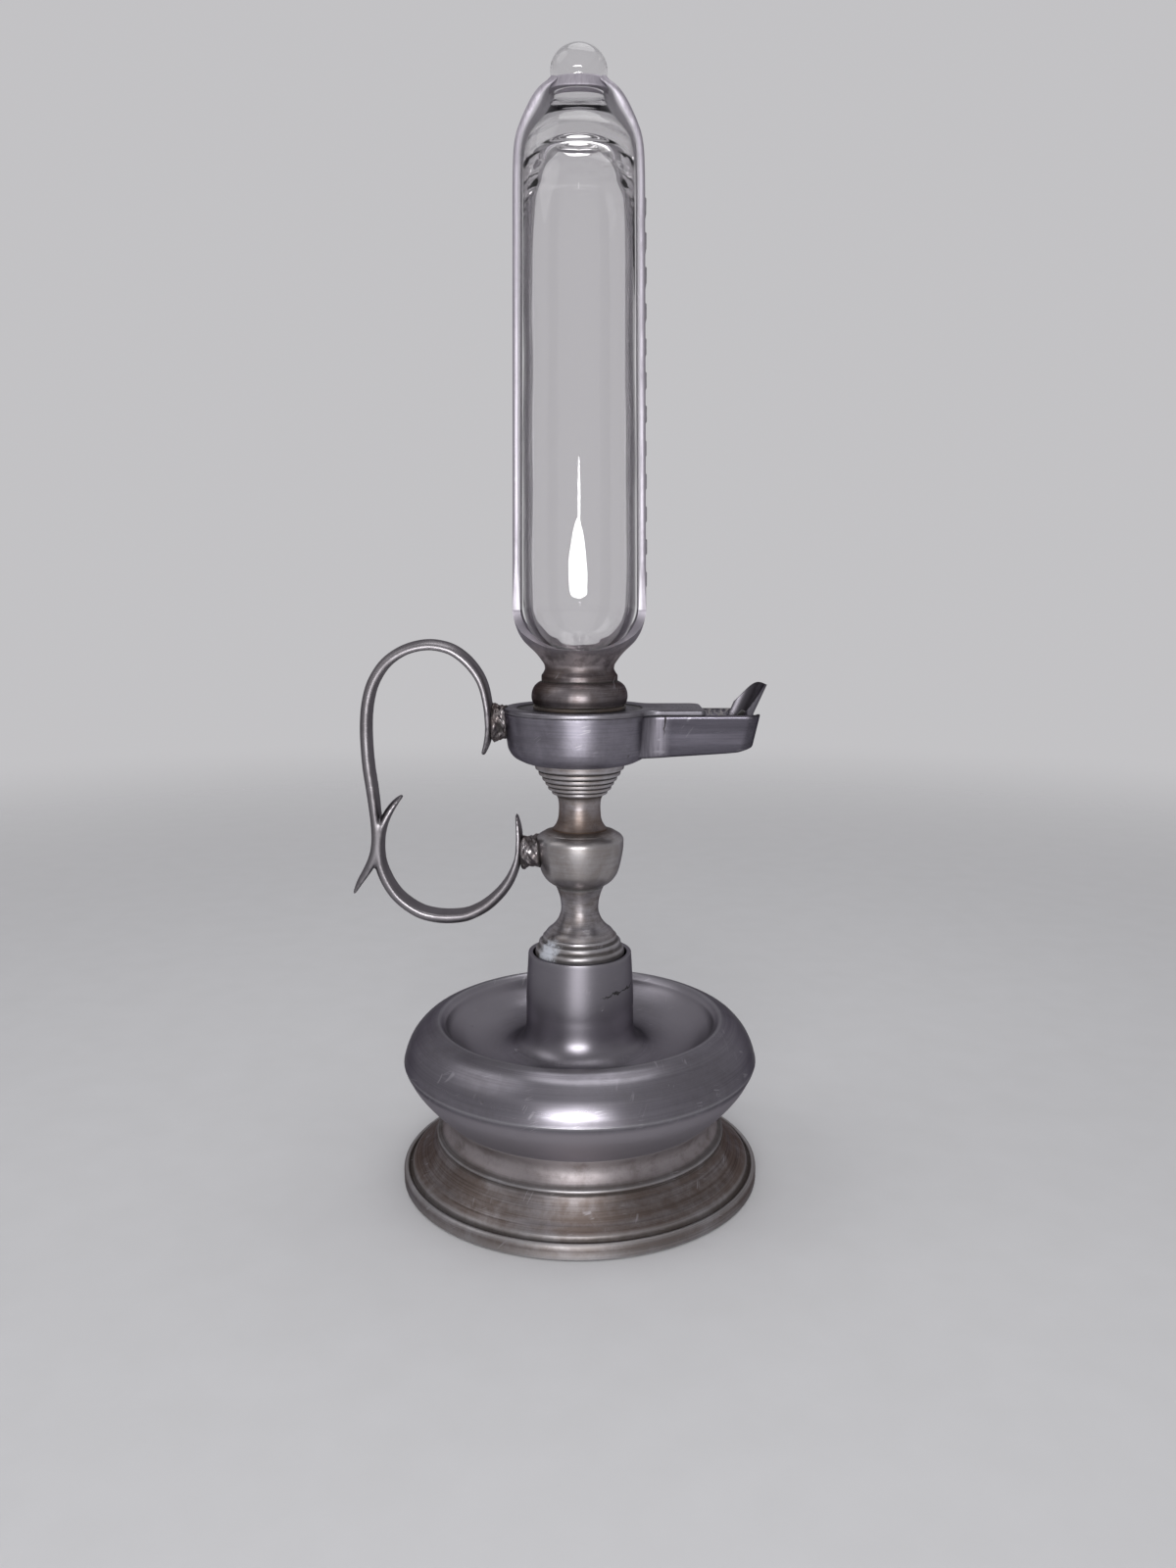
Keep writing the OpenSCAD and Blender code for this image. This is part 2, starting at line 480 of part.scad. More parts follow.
module hour_figures() color("#8a8a90") translate([cage_r, 0, z_root]) rotate([0, -strap_lean, 0])
    for (i = [0:hours - 1]) {
        word = numerals[i];
        wide = word_w(word, len(word)) - gap;
        translate([0, 0, scale_lo + (hours - 1 - i) * pitch - figure_h / 2]) rotate([90, 0, 90])
            linear_extrude(height = figure_raise)
                for (k = [0:len(word) - 1]) translate([word_w(word, k) - wide / 2, 0]) glyph(word[k]);
    }

// Glass: neck in the collar, straight body, conical shoulder and solid knob
glass_r = root_in - 0.6;
glass_top_r = cage_top_r - strap_t - 0.35;
mouth_r = neck_r - 0.9;
glass_low = curve(concat([[mouth_r, waist_z + 1.2]], span([mouth_r, waist_z + 1.2], [glass_r, z_root + 3],
    [[0.07, 0.115], [0.24, 0.225], [0.46, 0.33], [0.66, 0.435], [0.82, 0.565], [0.93, 0.715], [0.985, 0.865], [1, 1]])), 3);
knob_r = crown_hole - 0.4;
knob_z = z_crown + 7.2;
glass_high = curve([[glass_top_r, z_shoulder - 12], [glass_top_r - 0.05, z_shoulder - 6],
    [glass_top_r - 0.25, z_shoulder - 1.5], [glass_top_r - 1.15, z_shoulder + 2.6], [glass_top_r - 2.85, z_shoulder + 5.2],
    [glass_top_r - 4.85, z_shoulder + 7.5], [glass_top_r - 6.75, z_shoulder + 9.9], [knob_r - 0.3, z_shoulder + 12.3],
    [knob_r - 1.1, z_crown + 0.8], [knob_r - 1, z_crown + 2.8]], 3);
knob_arc = [for (a = [-22.5:7.5:90]) [knob_r * cos(a), knob_z + knob_r * sin(a)]];
cavity_top = z_shoulder + 2;
cavity_r = glass_top_r - glass_wall;
module glass_vessel() color([0.85, 0.88, 0.9, 0.35]) turned(concat(
    [[mouth_r - glass_wall, lip_z], [mouth_r, lip_z]],
    glass_low, glass_high, knob_arc,
    [[0, cavity_top]],
    curve([[0.1, cavity_top], [cavity_r - 9.35, cavity_top - 0.4], [cavity_r - 6.05, cavity_top - 1.5],
        [cavity_r - 3.45, cavity_top - 3.6], [cavity_r - 2.05, cavity_top - 7.4], [cavity_r - 1.05, cavity_top - 12],
        [cavity_r - 0.35, cavity_top - 17], [cavity_r + 0.1, cavity_top - 29]], 3),
    [[glass_r - glass_wall, z_root + 3.5]],
    flip([for (p = glass_low) if (p[1] < z_root + 2.8) [max(p[0] - glass_wall, mouth_r - glass_wall), p[1] + 0.9]])));

// Putty that beds the glass in the collar
putty_top = z_dip - 0.3;
module neck_putty() color("#4b4744") turned(concat(
    [[mouth_r, lip_z], [neck_r, lip_z]],
    [for (p = flare_in) if (p[1] < putty_top) p],
    flip([for (p = glass_low) if (p[1] < putty_top) p])));

foot();
drip_tray();
lower_stem();
knop();
upper_stem();
font_cup();
spout();
font_cover();
scroll_handle();
upper_lug();
lower_lug();
wick_rest();
wick();
seat_washer();
reservoir_collar();
plain_strap();
scale_strap();
hour_figures();
crown_ring();
glass_vessel();
neck_putty();
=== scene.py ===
import math
import bmesh
import bpy
import numpy as np
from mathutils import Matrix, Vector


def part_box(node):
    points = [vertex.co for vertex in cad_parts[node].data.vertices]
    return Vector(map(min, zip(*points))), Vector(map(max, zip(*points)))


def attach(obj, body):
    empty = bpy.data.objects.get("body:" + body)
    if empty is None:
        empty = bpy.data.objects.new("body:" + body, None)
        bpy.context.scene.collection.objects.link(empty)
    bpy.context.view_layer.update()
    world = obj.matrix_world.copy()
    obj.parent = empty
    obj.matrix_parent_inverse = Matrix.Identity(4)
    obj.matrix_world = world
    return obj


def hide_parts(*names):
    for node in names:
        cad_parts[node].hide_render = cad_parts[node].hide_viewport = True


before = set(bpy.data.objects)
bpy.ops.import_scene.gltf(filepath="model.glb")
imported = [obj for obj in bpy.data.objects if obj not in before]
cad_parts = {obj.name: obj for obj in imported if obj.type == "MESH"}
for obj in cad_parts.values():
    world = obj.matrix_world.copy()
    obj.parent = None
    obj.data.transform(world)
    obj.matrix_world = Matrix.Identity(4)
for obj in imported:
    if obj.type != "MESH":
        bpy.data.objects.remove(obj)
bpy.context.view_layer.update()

# Stage: a plain pale floor that fades out into pale surroundings. A soft oval light and a small one stand
# beside the camera, a broad one hangs overhead and a weak one is on the left. The camera looks a bit down.
scene = bpy.context.scene
scene.view_settings.view_transform = "Standard"
# Light is reflected many times inside the thick glass before it leaves, so more of its turns are followed
scene.cycles.max_bounces = 24
scene.cycles.transmission_bounces = 24
scene.cycles.glossy_bounces = 16


def node(tree, kind, inputs=(), **settings):
    """Adds one shader node. settings are its properties; inputs maps a socket name or number to a plain
    value or to the output socket that feeds it."""
    made = tree.nodes.new("ShaderNode" + kind)
    for key, value in settings.items():
        setattr(made, key, value)
    for key, value in dict(inputs).items():
        if isinstance(value, bpy.types.NodeSocket):
            tree.links.new(value, made.inputs[key])
        else:
            made.inputs[key].default_value = value
    return made


def sums(tree, operation, first, second):
    """Math node on two values or sockets."""
    return node(tree, "Math", {0: first, 1: second}, operation=operation).outputs[0]


def times(tree, first, second):
    """Product of two values or sockets."""
    return sums(tree, "MULTIPLY", first, second)


def plus(tree, first, second):
    """Sum of two values or sockets."""
    return sums(tree, "ADD", first, second)


def minus(tree, first, second):
    """Difference of two values or sockets."""
    return sums(tree, "SUBTRACT", first, second)


def split(tree, vector):
    """The X, Y and Z sockets of a vector."""
    return node(tree, "SeparateXYZ", {0: vector}).outputs


def here(tree):
    """Place on the piece, in the object's own coordinates and so in metres."""
    return node(tree, "TexCoord").outputs["Object"]


def cloud(tree, spot, scale, detail, rough=0.5):
    """Noise from 0 to 1 at the place spot: scale is how many of its cells lie along a metre, detail and
    rough are how far and how strongly it breaks up into finer noise."""
    inputs = {"Vector": spot, "Scale": scale, "Detail": detail, "Roughness": rough}
    return node(tree, "TexNoise", inputs).outputs["Fac"]


def length_of(tree, vector):
    """Length of a vector."""
    return node(tree, "VectorMath", {0: vector}, operation="LENGTH").outputs["Value"]


def off_by(tree, first, second):
    """How far two values lie from each other."""
    return sums(tree, "ABSOLUTE", minus(tree, first, second), 0.0)


def ramp(tree, value, low, high, to_low=0.0, to_high=1.0):
    """Smooth step of a value between low and high, mapped to to_low and to_high."""
    return node(tree, "MapRange", {"Value": value, "From Min": low, "From Max": high, "To Min": to_low,
                                   "To Max": to_high}, interpolation_type="SMOOTHSTEP").outputs[0]


def mixed(tree, share, first, second, blend="MIX"):
    """Mix of two colours, given as plain (r, g, b) or as sockets."""
    pair = [c if isinstance(c, bpy.types.NodeSocket) else (*c, 1.0) for c in (first, second)]
    return node(tree, "Mix", {0: share, 6: pair[0], 7: pair[1]}, data_type="RGBA",
                blend_type=blend).outputs[2]


def blank(name):
    """New material. Gives it with its node tree and its shader."""
    made = bpy.data.materials.new(name)
    made.use_nodes = True
    return made, made.node_tree, made.node_tree.nodes["Principled BSDF"]


camera = bpy.data.objects.new("camera", bpy.data.cameras.new("camera"))
camera.data.lens = 27.9
camera.data.sensor_width = 36.0
camera.data.clip_start = 0.01
camera.location = (0.0026, -0.3732, 0.1903)
camera.rotation_euler = (math.radians(80.4), 0.0, 0.0)
scene.collection.objects.link(camera)
scene.camera = camera

pale = (0.545, 0.54, 0.555)
dusk = (0.26, 0.26, 0.27)
side = (0.40, 0.395, 0.41)
half = (0.52, 0.515, 0.53)
surroundings = bpy.data.worlds.new("surroundings")
surroundings.use_nodes = True
scene.world = surroundings
tree = surroundings.node_tree
axes = split(tree, node(tree, "TexCoord").outputs["Generated"])
back_share = ramp(tree, axes["Y"], 0.4, 1.0)
front_share = ramp(tree, axes["Y"], -0.25, -0.95)
side_share = ramp(tree, sums(tree, "ABSOLUTE", axes["X"], 0.0), 0.2, 0.75)
room = mixed(tree, front_share, mixed(tree, side_share, dusk, side), half)
room = mixed(tree, back_share, room, pale)
rays = node(tree, "LightPath").outputs
seen = sums(tree, "MAXIMUM", rays["Is Camera Ray"], rays["Is Transmission Ray"])
show = sums(tree, "MAXIMUM", seen, times(tree, rays["Is Glossy Ray"], back_share))
tree.links.new(mixed(tree, show, room, pale), tree.nodes["Background"].inputs["Color"])


def soft_light(name, place, target, wide, tall, power, through=True):
    """Oval area light at place that looks at target, hidden from the camera itself. through says whether it
    shows through the glass."""
    lamp = bpy.data.objects.new(name, bpy.data.lights.new(name, "AREA"))
    lamp.data.shape = "ELLIPSE"
    lamp.data.size = wide
    lamp.data.size_y = tall
    lamp.data.energy = power
    way = np.subtract(target, place)
    lamp.location = place
    tilt = math.atan2(math.hypot(way[0], way[1]), -way[2])
    lamp.rotation_euler = (tilt, 0.0, math.atan2(-way[0], way[1]))
    lamp.data.spread = math.radians(110)
    lamp.visible_camera = False
    lamp.visible_transmission = through
    scene.collection.objects.link(lamp)


soft_light("front_light", (-0.03, -0.75, 0.212), (0.0, 0.0, 0.14), wide=0.52, tall=0.11, power=1.27,
           through=False)
soft_light("small_light", (0.0, -0.42, 0.245), (0.0, 0.0, 0.2), wide=0.032, tall=0.032, power=0.013)
soft_light("top_light", (0.1, 0.1, 1.2), (0.0, 0.0, 0.1), wide=0.9, tall=0.9, power=1.6)
soft_light("left_light", (-0.8, -0.1, 0.95), (0.0, 0.0, 0.1), wide=0.8, tall=0.8, power=0.62)

floor_mesh = bpy.data.meshes.new("floor")
floor_corners = [(x, y, -0.0003) for x, y in ((-3, -3), (3, -3), (3, 3), (-3, 3))]
floor_mesh.from_pydata(floor_corners, [], [(0, 1, 2, 3)])
floor = bpy.data.objects.new("floor", floor_mesh)
scene.collection.objects.link(floor)
floor_paint, tree, bsdf = blank("floor_paint")
bsdf.inputs["Roughness"].default_value = 0.75
bsdf.inputs["Specular IOR Level"].default_value = 0.2
spot = here(tree)
speckle = cloud(tree, spot, 60.0, 4.0)
tree.links.new(mixed(tree, speckle, (0.60, 0.60, 0.61), (0.64, 0.64, 0.655)), bsdf.inputs["Base Color"])
far = ramp(tree, length_of(tree, spot), 0.3, 1.1)
fade = node(tree, "MixShader", {0: far, 1: bsdf.outputs[0], 2: node(tree, "BsdfTransparent").outputs[0]})
tree.links.new(fade.outputs[0], tree.nodes["Material Output"].inputs["Surface"])
floor_mesh.materials.append(floor_paint)

# Foot: hollow cast pewter, turned on the outside to a bead rim, a long slope, a small bead and a coved neck.
# It is soldered to the drip tray at the neck, and a brown film has settled on the slope.
MM = 0.001


def span(start, end, shares):
    """Points placed by shares of the way from start to end, one share for each coordinate."""
    return np.array(start, float) + np.array(shares, float) * np.subtract(end, start)


def steps_from(base, steps):
    """Points at the given steps from a base point."""
    return np.array(steps, float) + base


def smooth(points, steps=5):
    """Catmull-Rom curve: each span is the cubic through its two points whose end slopes are half the step
    between the points on either side."""
    p = np.asarray(points, float)
    i = np.arange(len(p) - 1)[:, None]
    t = (np.arange(steps) / steps)[None, :, None]
    a, b, c, d = p[np.maximum(i - 1, 0)], p[i], p[i + 1], p[np.minimum(i + 2, len(p) - 1)]
    curve = 0.5 * (2 * b + (c - a) * t + (2 * a - 5 * b + 4 * c - d) * t ** 2
                   + (3 * b - a - 3 * c + d) * t ** 3)
    return np.vstack([curve.reshape(-1, p.shape[1]), p[-1:]])


def eased(points, radius=0.3):
    """Polyline with rounded corners: each inner corner becomes the quadratic curve that leaves one side and
    meets the next at radius from the corner, or at 0.45 of a shorter side."""
    p = np.asarray(points, float)
    before, after = p[:-2] - p[1:-1], p[2:] - p[1:-1]
    d0, d1 = np.linalg.norm(before, axis=1)[:, None], np.linalg.norm(after, axis=1)[:, None]
    r = np.broadcast_to(np.asarray(radius, float).reshape(-1, 1), d0.shape)
    a = p[1:-1] + before * np.minimum(r / d0, 0.45)
    b = p[1:-1] + after * np.minimum(r / d1, 0.45)
    t = np.linspace(0, 1, 6)[None, :, None]
    arcs = (1 - t) ** 2 * a[:, None] + 2 * t * (1 - t) * p[1:-1][:, None] + t ** 2 * b[:, None]
    return np.vstack([p[:1], arcs.reshape(-1, p.shape[1]), p[-1:]])


def quads(rows, cols, wrap_rows=False, wrap_cols=False):
    """Corner numbers of the quads of a grid that is numbered row by row."""
    i = np.arange(rows if wrap_rows else rows - 1)[:, None]
    j = np.arange(cols if wrap_cols else cols - 1)[None, :]
    i2, j2 = (i + 1) % rows, (j + 1) % cols
    return np.stack([i * cols + j, i * cols + j2, i2 * cols + j2, i2 * cols + j], -1).reshape(-1, 4)


def put(name, points, faces, fill=False, **layers):
    """Mesh object from points in mm and quads. Doubles are merged, so poles and seams close, faces are turned
    outwards by the sign of the enclosed volume, and each layer becomes a point attribute."""
    p = np.asarray(points, float).reshape(-1, 3)
    corner = p[faces]
    size = np.einsum("ij,ij->i", corner[:, 0], np.cross(corner[:, 1], corner[:, 2])
                     + np.cross(corner[:, 2], corner[:, 3])).sum()
    if size < 0:
        faces = faces[:, ::-1]
    mesh = bpy.data.meshes.new(name)
    mesh.vertices.add(len(p))
    mesh.vertices.foreach_set("co", (p * MM).ravel())
    mesh.loops.add(faces.size)
    mesh.loops.foreach_set("vertex_index", np.ascontiguousarray(faces).ravel())
    mesh.polygons.add(len(faces))
    mesh.polygons.foreach_set("loop_start", np.arange(0, faces.size, 4))
    mesh.update(calc_edges=True)
    for key, value in layers.items():
        layer = mesh.attributes.new(key, "FLOAT", "POINT")
        layer.data.foreach_set("value", np.ascontiguousarray(value, dtype=np.float32).ravel())
    shell = bmesh.new()
    shell.from_mesh(mesh)
    bmesh.ops.remove_doubles(shell, verts=shell.verts, dist=2e-6)
    bmesh.ops.dissolve_degenerate(shell, edges=shell.edges, dist=1e-7)
    if fill:
        bmesh.ops.holes_fill(shell, edges=[e for e in shell.edges if e.is_boundary], sides=0)
    for face in shell.faces:
        face.smooth = True
    shell.to_mesh(mesh)
    shell.free()
    mesh.set_sharp_from_angle(angle=0.9)
    piece = bpy.data.objects.new(name, mesh)
    scene.collection.objects.link(piece)
    return piece


def hollows(profile, reach=0.9):
    """How hollow (1) and how sharp (-1) a profile is at each point: the middle of the two points that lie
    reach mm before and after it, measured from the point along the outward side, over reach."""
    step = np.linalg.norm(np.diff(profile, axis=0), axis=1)
    s = np.concatenate([[0], np.cumsum(step)])
    ahead = np.stack([np.interp(s + reach, s, profile[:, k]) for k in (0, 1)], 1)
    behind = np.stack([np.interp(s - reach, s, profile[:, k]) for k in (0, 1)], 1)
    way = ahead - behind
    side = np.stack([way[:, 1], -way[:, 0]], 1) / (np.linalg.norm(way, axis=1)[:, None] + 1e-9)
    return np.einsum("ij,ij->i", (ahead + behind) / 2 - profile, side) / reach


def turned(name, profile, around=176, wobble=0.0, turn=0.0, joints=()):
    """Surface of revolution: point (s, a) is (r cos a, r sin a, z) with r, z from the profile at s, in mm.
    r grows by wobble times sin(2 a + turn + z / 11), as no hand-turned ring is quite round. The layers
    grime and wear hold the hollows and the sharp places of the profile, and grime also gathers at the
    heights in joints."""
    keep = np.concatenate([[True], np.linalg.norm(np.diff(profile, axis=0), axis=1) > 1e-4])
    p = profile[keep]
    bend = hollows(p)
    wide = hollows(p, 2.4)
    grime = np.clip(2.6 * bend, 0, 1) + np.clip(0.5 * wide, 0, 0.2)
    for z in joints:
        grime = grime + 0.9 * np.exp(-((p[:, 1] - z) / 0.55) ** 2)
    a = np.linspace(0, 2 * np.pi, around, endpoint=False)[None, :]
    r, z = p[:, :1], p[:, 1:]
    r = r + wobble * np.clip(r / 10, 0, 1) * np.sin(2 * a + turn + z / 11)
    points = np.stack([r * np.cos(a), r * np.sin(a), np.broadcast_to(z, r.shape)], -1)
    rows = np.ones((1, around))
    return put(name, points, quads(len(p), around, wrap_cols=True),
               grime=np.clip(grime, 0, 1)[:, None] * rows, wear=np.clip(-1.8 * bend, 0, 1)[:, None] * rows)


def point_layer(tree, name):
    """Point attribute of the mesh, as a value."""
    return node(tree, "Attribute", attribute_name=name).outputs["Fac"]


def distance(tree, spot, place):
    """How far a spot lies from a place that is given in mm."""
    return node(tree, "VectorMath", {0: spot, 1: np.multiply(place, MM)},
                operation="DISTANCE").outputs["Value"]


def group(name, inputs, outputs):
    """Empty shader node group with named sockets. Gives its tree, its input and its output sockets."""
    made = bpy.data.node_groups.new(name, "ShaderNodeTree")
    for label, kind, value in inputs:
        socket = made.interface.new_socket(label, in_out="INPUT", socket_type="NodeSocket" + kind)
        socket.default_value = value
    for label, kind in outputs:
        made.interface.new_socket(label, in_out="OUTPUT", socket_type="NodeSocket" + kind)
    return made, made.nodes.new("NodeGroupInput").outputs, made.nodes.new("NodeGroupOutput").inputs


# Turning marks: noise that is stretched round the axis, so each line is a circle at one radius and height
turning_lines, given, result = group("turning_lines", [("Fineness", "Float", 2400.0)],
                                     [("Height", "Float"), ("Bands", "Float")])
tree = turning_lines
axes = split(tree, here(tree))
flat = node(tree, "CombineXYZ", {"X": axes["X"], "Y": axes["Y"]}).outputs[0]
way = node(tree, "VectorMath", {0: flat}, operation="NORMALIZE").outputs[0]
radius = length_of(tree, flat)
for socket, stretch, run, detail in (("Height", 1.0, 1.1, 3.0), ("Bands", 0.16, 0.5, 4.0)):
    count = times(tree, given["Fineness"], stretch)
    turn = split(tree, node(tree, "VectorMath", {0: way, 1: (run, run, run)},
                            operation="MULTIPLY").outputs[0])
    spot = node(tree, "CombineXYZ", {"X": turn["X"], "Y": turn["Y"], "Z": times(tree, axes["Z"], count)})
    noise = node(tree, "TexNoise", {"Vector": spot.outputs[0], "W": times(tree, radius, count),
                                    "Scale": 1.0, "Detail": detail, "Roughness": 0.62},
                 noise_dimensions="4D")
    tree.links.new(noise.outputs["Fac"], result[socket])

# Filing marks: the same two outputs from noise that is drawn out in a straight line, by Stretch
filing_lines, given, result = group("filing_lines", [("Stretch", "Vector", (80.0, 2400.0, 2400.0))],
                                    [("Height", "Float"), ("Bands", "Float")])
tree = filing_lines
spot = here(tree)
drawn = node(tree, "VectorMath", {0: spot, 1: given["Stretch"]}, operation="MULTIPLY").outputs[0]
for socket, scale, detail in (("Height", 1.0, 3.0), ("Bands", 0.16, 4.0)):
    tree.links.new(cloud(tree, drawn, scale, detail, 0.62), result[socket])

# Film: patches of tarnish over clean metal, drawn out round the axis by the turning bands
film, given, result = group("film", [
    ("Clean", "Color", (0.4, 0.4, 0.42, 1)), ("Film", "Color", (0.3, 0.27, 0.25, 1)), ("Cover", "Float", 0.4),
    ("Bands", "Float", 0.5)], [("Color", "Color"), ("Mask", "Float")])
tree = film
spot = here(tree)
broad = node(tree, "TexNoise", {"Vector": spot, "Scale": 48.0, "Detail": 7.0, "Roughness": 0.66,
                                "Distortion": 0.4})
fine = cloud(tree, spot, 420.0, 5.0, 0.7)
level = plus(tree, broad.outputs["Fac"], times(tree, fine, 0.28))
level = plus(tree, level, times(tree, given["Bands"], 0.5))
level = plus(tree, level, times(tree, given["Cover"], 0.7))
cover = ramp(tree, level, 0.98, 1.34)
tree.links.new(mixed(tree, cover, given["Clean"], given["Film"]), result["Color"])
tree.links.new(cover, result["Mask"])

# Grime: dark dirt where the surface is hollow, broken up by noise, and rubbed brighter along the edges
grime, given, result = group("grime", [("Color", "Color", (0.4, 0.4, 0.42, 1)),
                                       ("Dirt", "Color", (0.03, 0.027, 0.025, 1)), ("Depth", "Float", 0.8)],
                             [("Color", "Color"), ("Mask", "Float")])
tree = grime
spot = here(tree)
crumbs = cloud(tree, spot, 260.0, 5.0, 0.7)
hollow = point_layer(tree, "grime")
edge = point_layer(tree, "wear")
mask = ramp(tree, plus(tree, hollow, times(tree, crumbs, 0.5)), 0.38, 1.05)
mask = times(tree, mask, given["Depth"])
rubbed = mixed(tree, times(tree, edge, 0.45), given["Color"], (0.62, 0.62, 0.64))
tree.links.new(mixed(tree, mask, rubbed, given["Dirt"]), result["Color"])
tree.links.new(mask, result["Mask"])

# Pits and specks: scattered small round holes, of which only some cells of the scatter have one
pits, given, result = group("pits", [("Scale", "Float", 300.0), ("Share", "Float", 0.3)],
                            [("Mask", "Float"), ("Unevenness", "Float")])
tree = pits
spot = here(tree)
wavy = node(tree, "TexNoise", {"Vector": spot, "Scale": 500.0, "Detail": 3.0}).outputs["Color"]
shaken = node(tree, "VectorMath", {0: wavy, 1: (0.0016, 0.0016, 0.0016), 2: spot},
              operation="MULTIPLY_ADD").outputs[0]
cells = node(tree, "TexVoronoi", {"Vector": shaken, "Scale": given["Scale"]})
pick = node(tree, "SeparateColor", {0: cells.outputs["Color"]}).outputs
open_cell = sums(tree, "LESS_THAN", pick[0], given["Share"])
width = plus(tree, times(tree, pick[1], 0.16), 0.07)
near = node(tree, "MapRange", {"Value": cells.outputs["Distance"], "From Min": width,
                               "From Max": 0.03}).outputs[0]
tree.links.new(times(tree, near, open_cell), result["Mask"])
uneven = cloud(tree, spot, 170.0, 5.0, 0.6)
tree.links.new(uneven, result["Unevenness"])

# Scratches: hairlines where thin slanting sheets of noise meet the surface, kept only in a few short patches
scratches, given, result = group("scratches", [("Share", "Float", 0.5)], [("Mask", "Float")])
tree = scratches
spot = here(tree)
hairs = []
for slant, patch in (((0.5, 0.6, 0.4), 150.0), ((-0.7, -0.9, 1.9), 190.0)):
    drawn = node(tree, "Mapping", {"Vector": spot, "Rotation": slant,
                                   "Scale": (1 / 700.0, 1 / 30.0, 1 / 30.0)},
                 vector_type="TEXTURE").outputs[0]
    level = cloud(tree, drawn, 1.0, 0.0)
    off = off_by(tree, level, 0.5)
    kept = cloud(tree, spot, patch, 1.0)
    hairs.append(times(tree, ramp(tree, off, 0.022, 0.006), ramp(tree, kept, 0.62, 0.70)))
hair = sums(tree, "MAXIMUM", *hairs)
tree.links.new(times(tree, hair, given["Share"]), result["Mask"])


def pewter(name, clean, tarnish, cover, rough, lines=0.0, skin=0.0, pitted=0.0, dirt=0.8, brushed=0.0,
           marked=1.0, filed=None):
    """Pewter: clean metal under a patchy film, dirt in the hollows and brighter edges. lines is the depth
    of the turning marks in mm, skin that of the cast unevenness, and pitted the share of pitted places.
    brushed spreads the gloss across the turning marks, up and down a turned piece. marked is how plainly
    the marks show, and filed gives the stretch of straight filing marks, which then take the place of
    turning marks."""
    made, t, shader = blank(name)
    shader.inputs["Specular Tint"].default_value = (0.3, 0.29, 0.31, 1)
    if brushed:
        shader.inputs["Anisotropic"].default_value = brushed
        shader.inputs["Anisotropic Rotation"].default_value = 0.25
        t.links.new(node(t, "Tangent", direction_type="RADIAL", axis="Z").outputs[0],
                    shader.inputs["Tangent"])
    if filed:
        marks = node(t, "Group", {"Stretch": filed}, node_tree=filing_lines).outputs
    else:
        marks = node(t, "Group", {"Fineness": 2400.0}, node_tree=turning_lines).outputs
    coats = {"Clean": (*clean, 1), "Film": (*tarnish, 1), "Cover": cover, "Bands": marks["Bands"]}
    layer = node(t, "Group", coats, node_tree=film).outputs
    dirty = node(t, "Group", {"Color": layer["Color"], "Depth": dirt}, node_tree=grime).outputs
    holes = node(t, "Group", {"Scale": 260.0, "Share": pitted}, node_tree=pits).outputs
    shade = mixed(t, times(t, holes["Mask"], 0.75), dirty["Color"], (0.025, 0.022, 0.02))
    streak = mixed(t, ramp(t, marks["Bands"], 0.3, 0.7, 0.0, 0.3 * marked), shade, (1.0, 1.0, 1.0),
                   "SOFT_LIGHT")
    streak = mixed(t, ramp(t, marks["Height"], 0.42, 0.68, 0.0, 0.35 * marked), streak, (0.0, 0.0, 0.0),
                   "SOFT_LIGHT")
    hair = node(t, "Group", {"Share": 0.3}, node_tree=scratches).outputs["Mask"]
    t.links.new(mixed(t, hair, streak, (0.62, 0.60, 0.64)), shader.inputs["Base Color"])
    soil = sums(t, "MAXIMUM", dirty["Mask"], holes["Mask"])
    brush = plus(t, marks["Bands"], times(t, minus(t, marks["Height"], 0.5), 0.5))
    dull = plus(t, ramp(t, brush, 0.3, 0.7, rough - 0.06 * marked, rough + 0.08 * marked),
                plus(t, times(t, layer["Mask"], 0.09), times(t, soil, 0.3)))
    t.links.new(dull, shader.inputs["Roughness"])
    t.links.new(ramp(t, soil, 0.0, 1.0, 1.0, 0.35), shader.inputs["Metallic"])
    ridges = times(t, marks["Height"], lines)
    relief = minus(t, times(t, holes["Unevenness"], skin), times(t, holes["Mask"], 0.12))
    bump = node(t, "Bump", {"Height": plus(t, ridges, relief), "Distance": MM, "Strength": 1.0})
    t.links.new(bump.outputs[0], shader.inputs["Normal"])
    return made


def stain(material, mask, colour, rough, metal=1.0):
    """Lays a stain over a finished material: where the mask is 1 its colour, roughness and metal show."""
    t = material.node_tree
    shader = t.nodes["Principled BSDF"]
    old = {key: shader.inputs[key].links[0].from_socket for key in ("Base Color", "Roughness", "Metallic")}
    t.links.new(mixed(t, mask, old["Base Color"], colour), shader.inputs["Base Color"])
    for key, value in (("Roughness", rough), ("Metallic", metal)):
        blend = node(t, "Mix", {0: mask, 2: old[key], 3: value}).outputs[0]
        t.links.new(blend, shader.inputs[key])


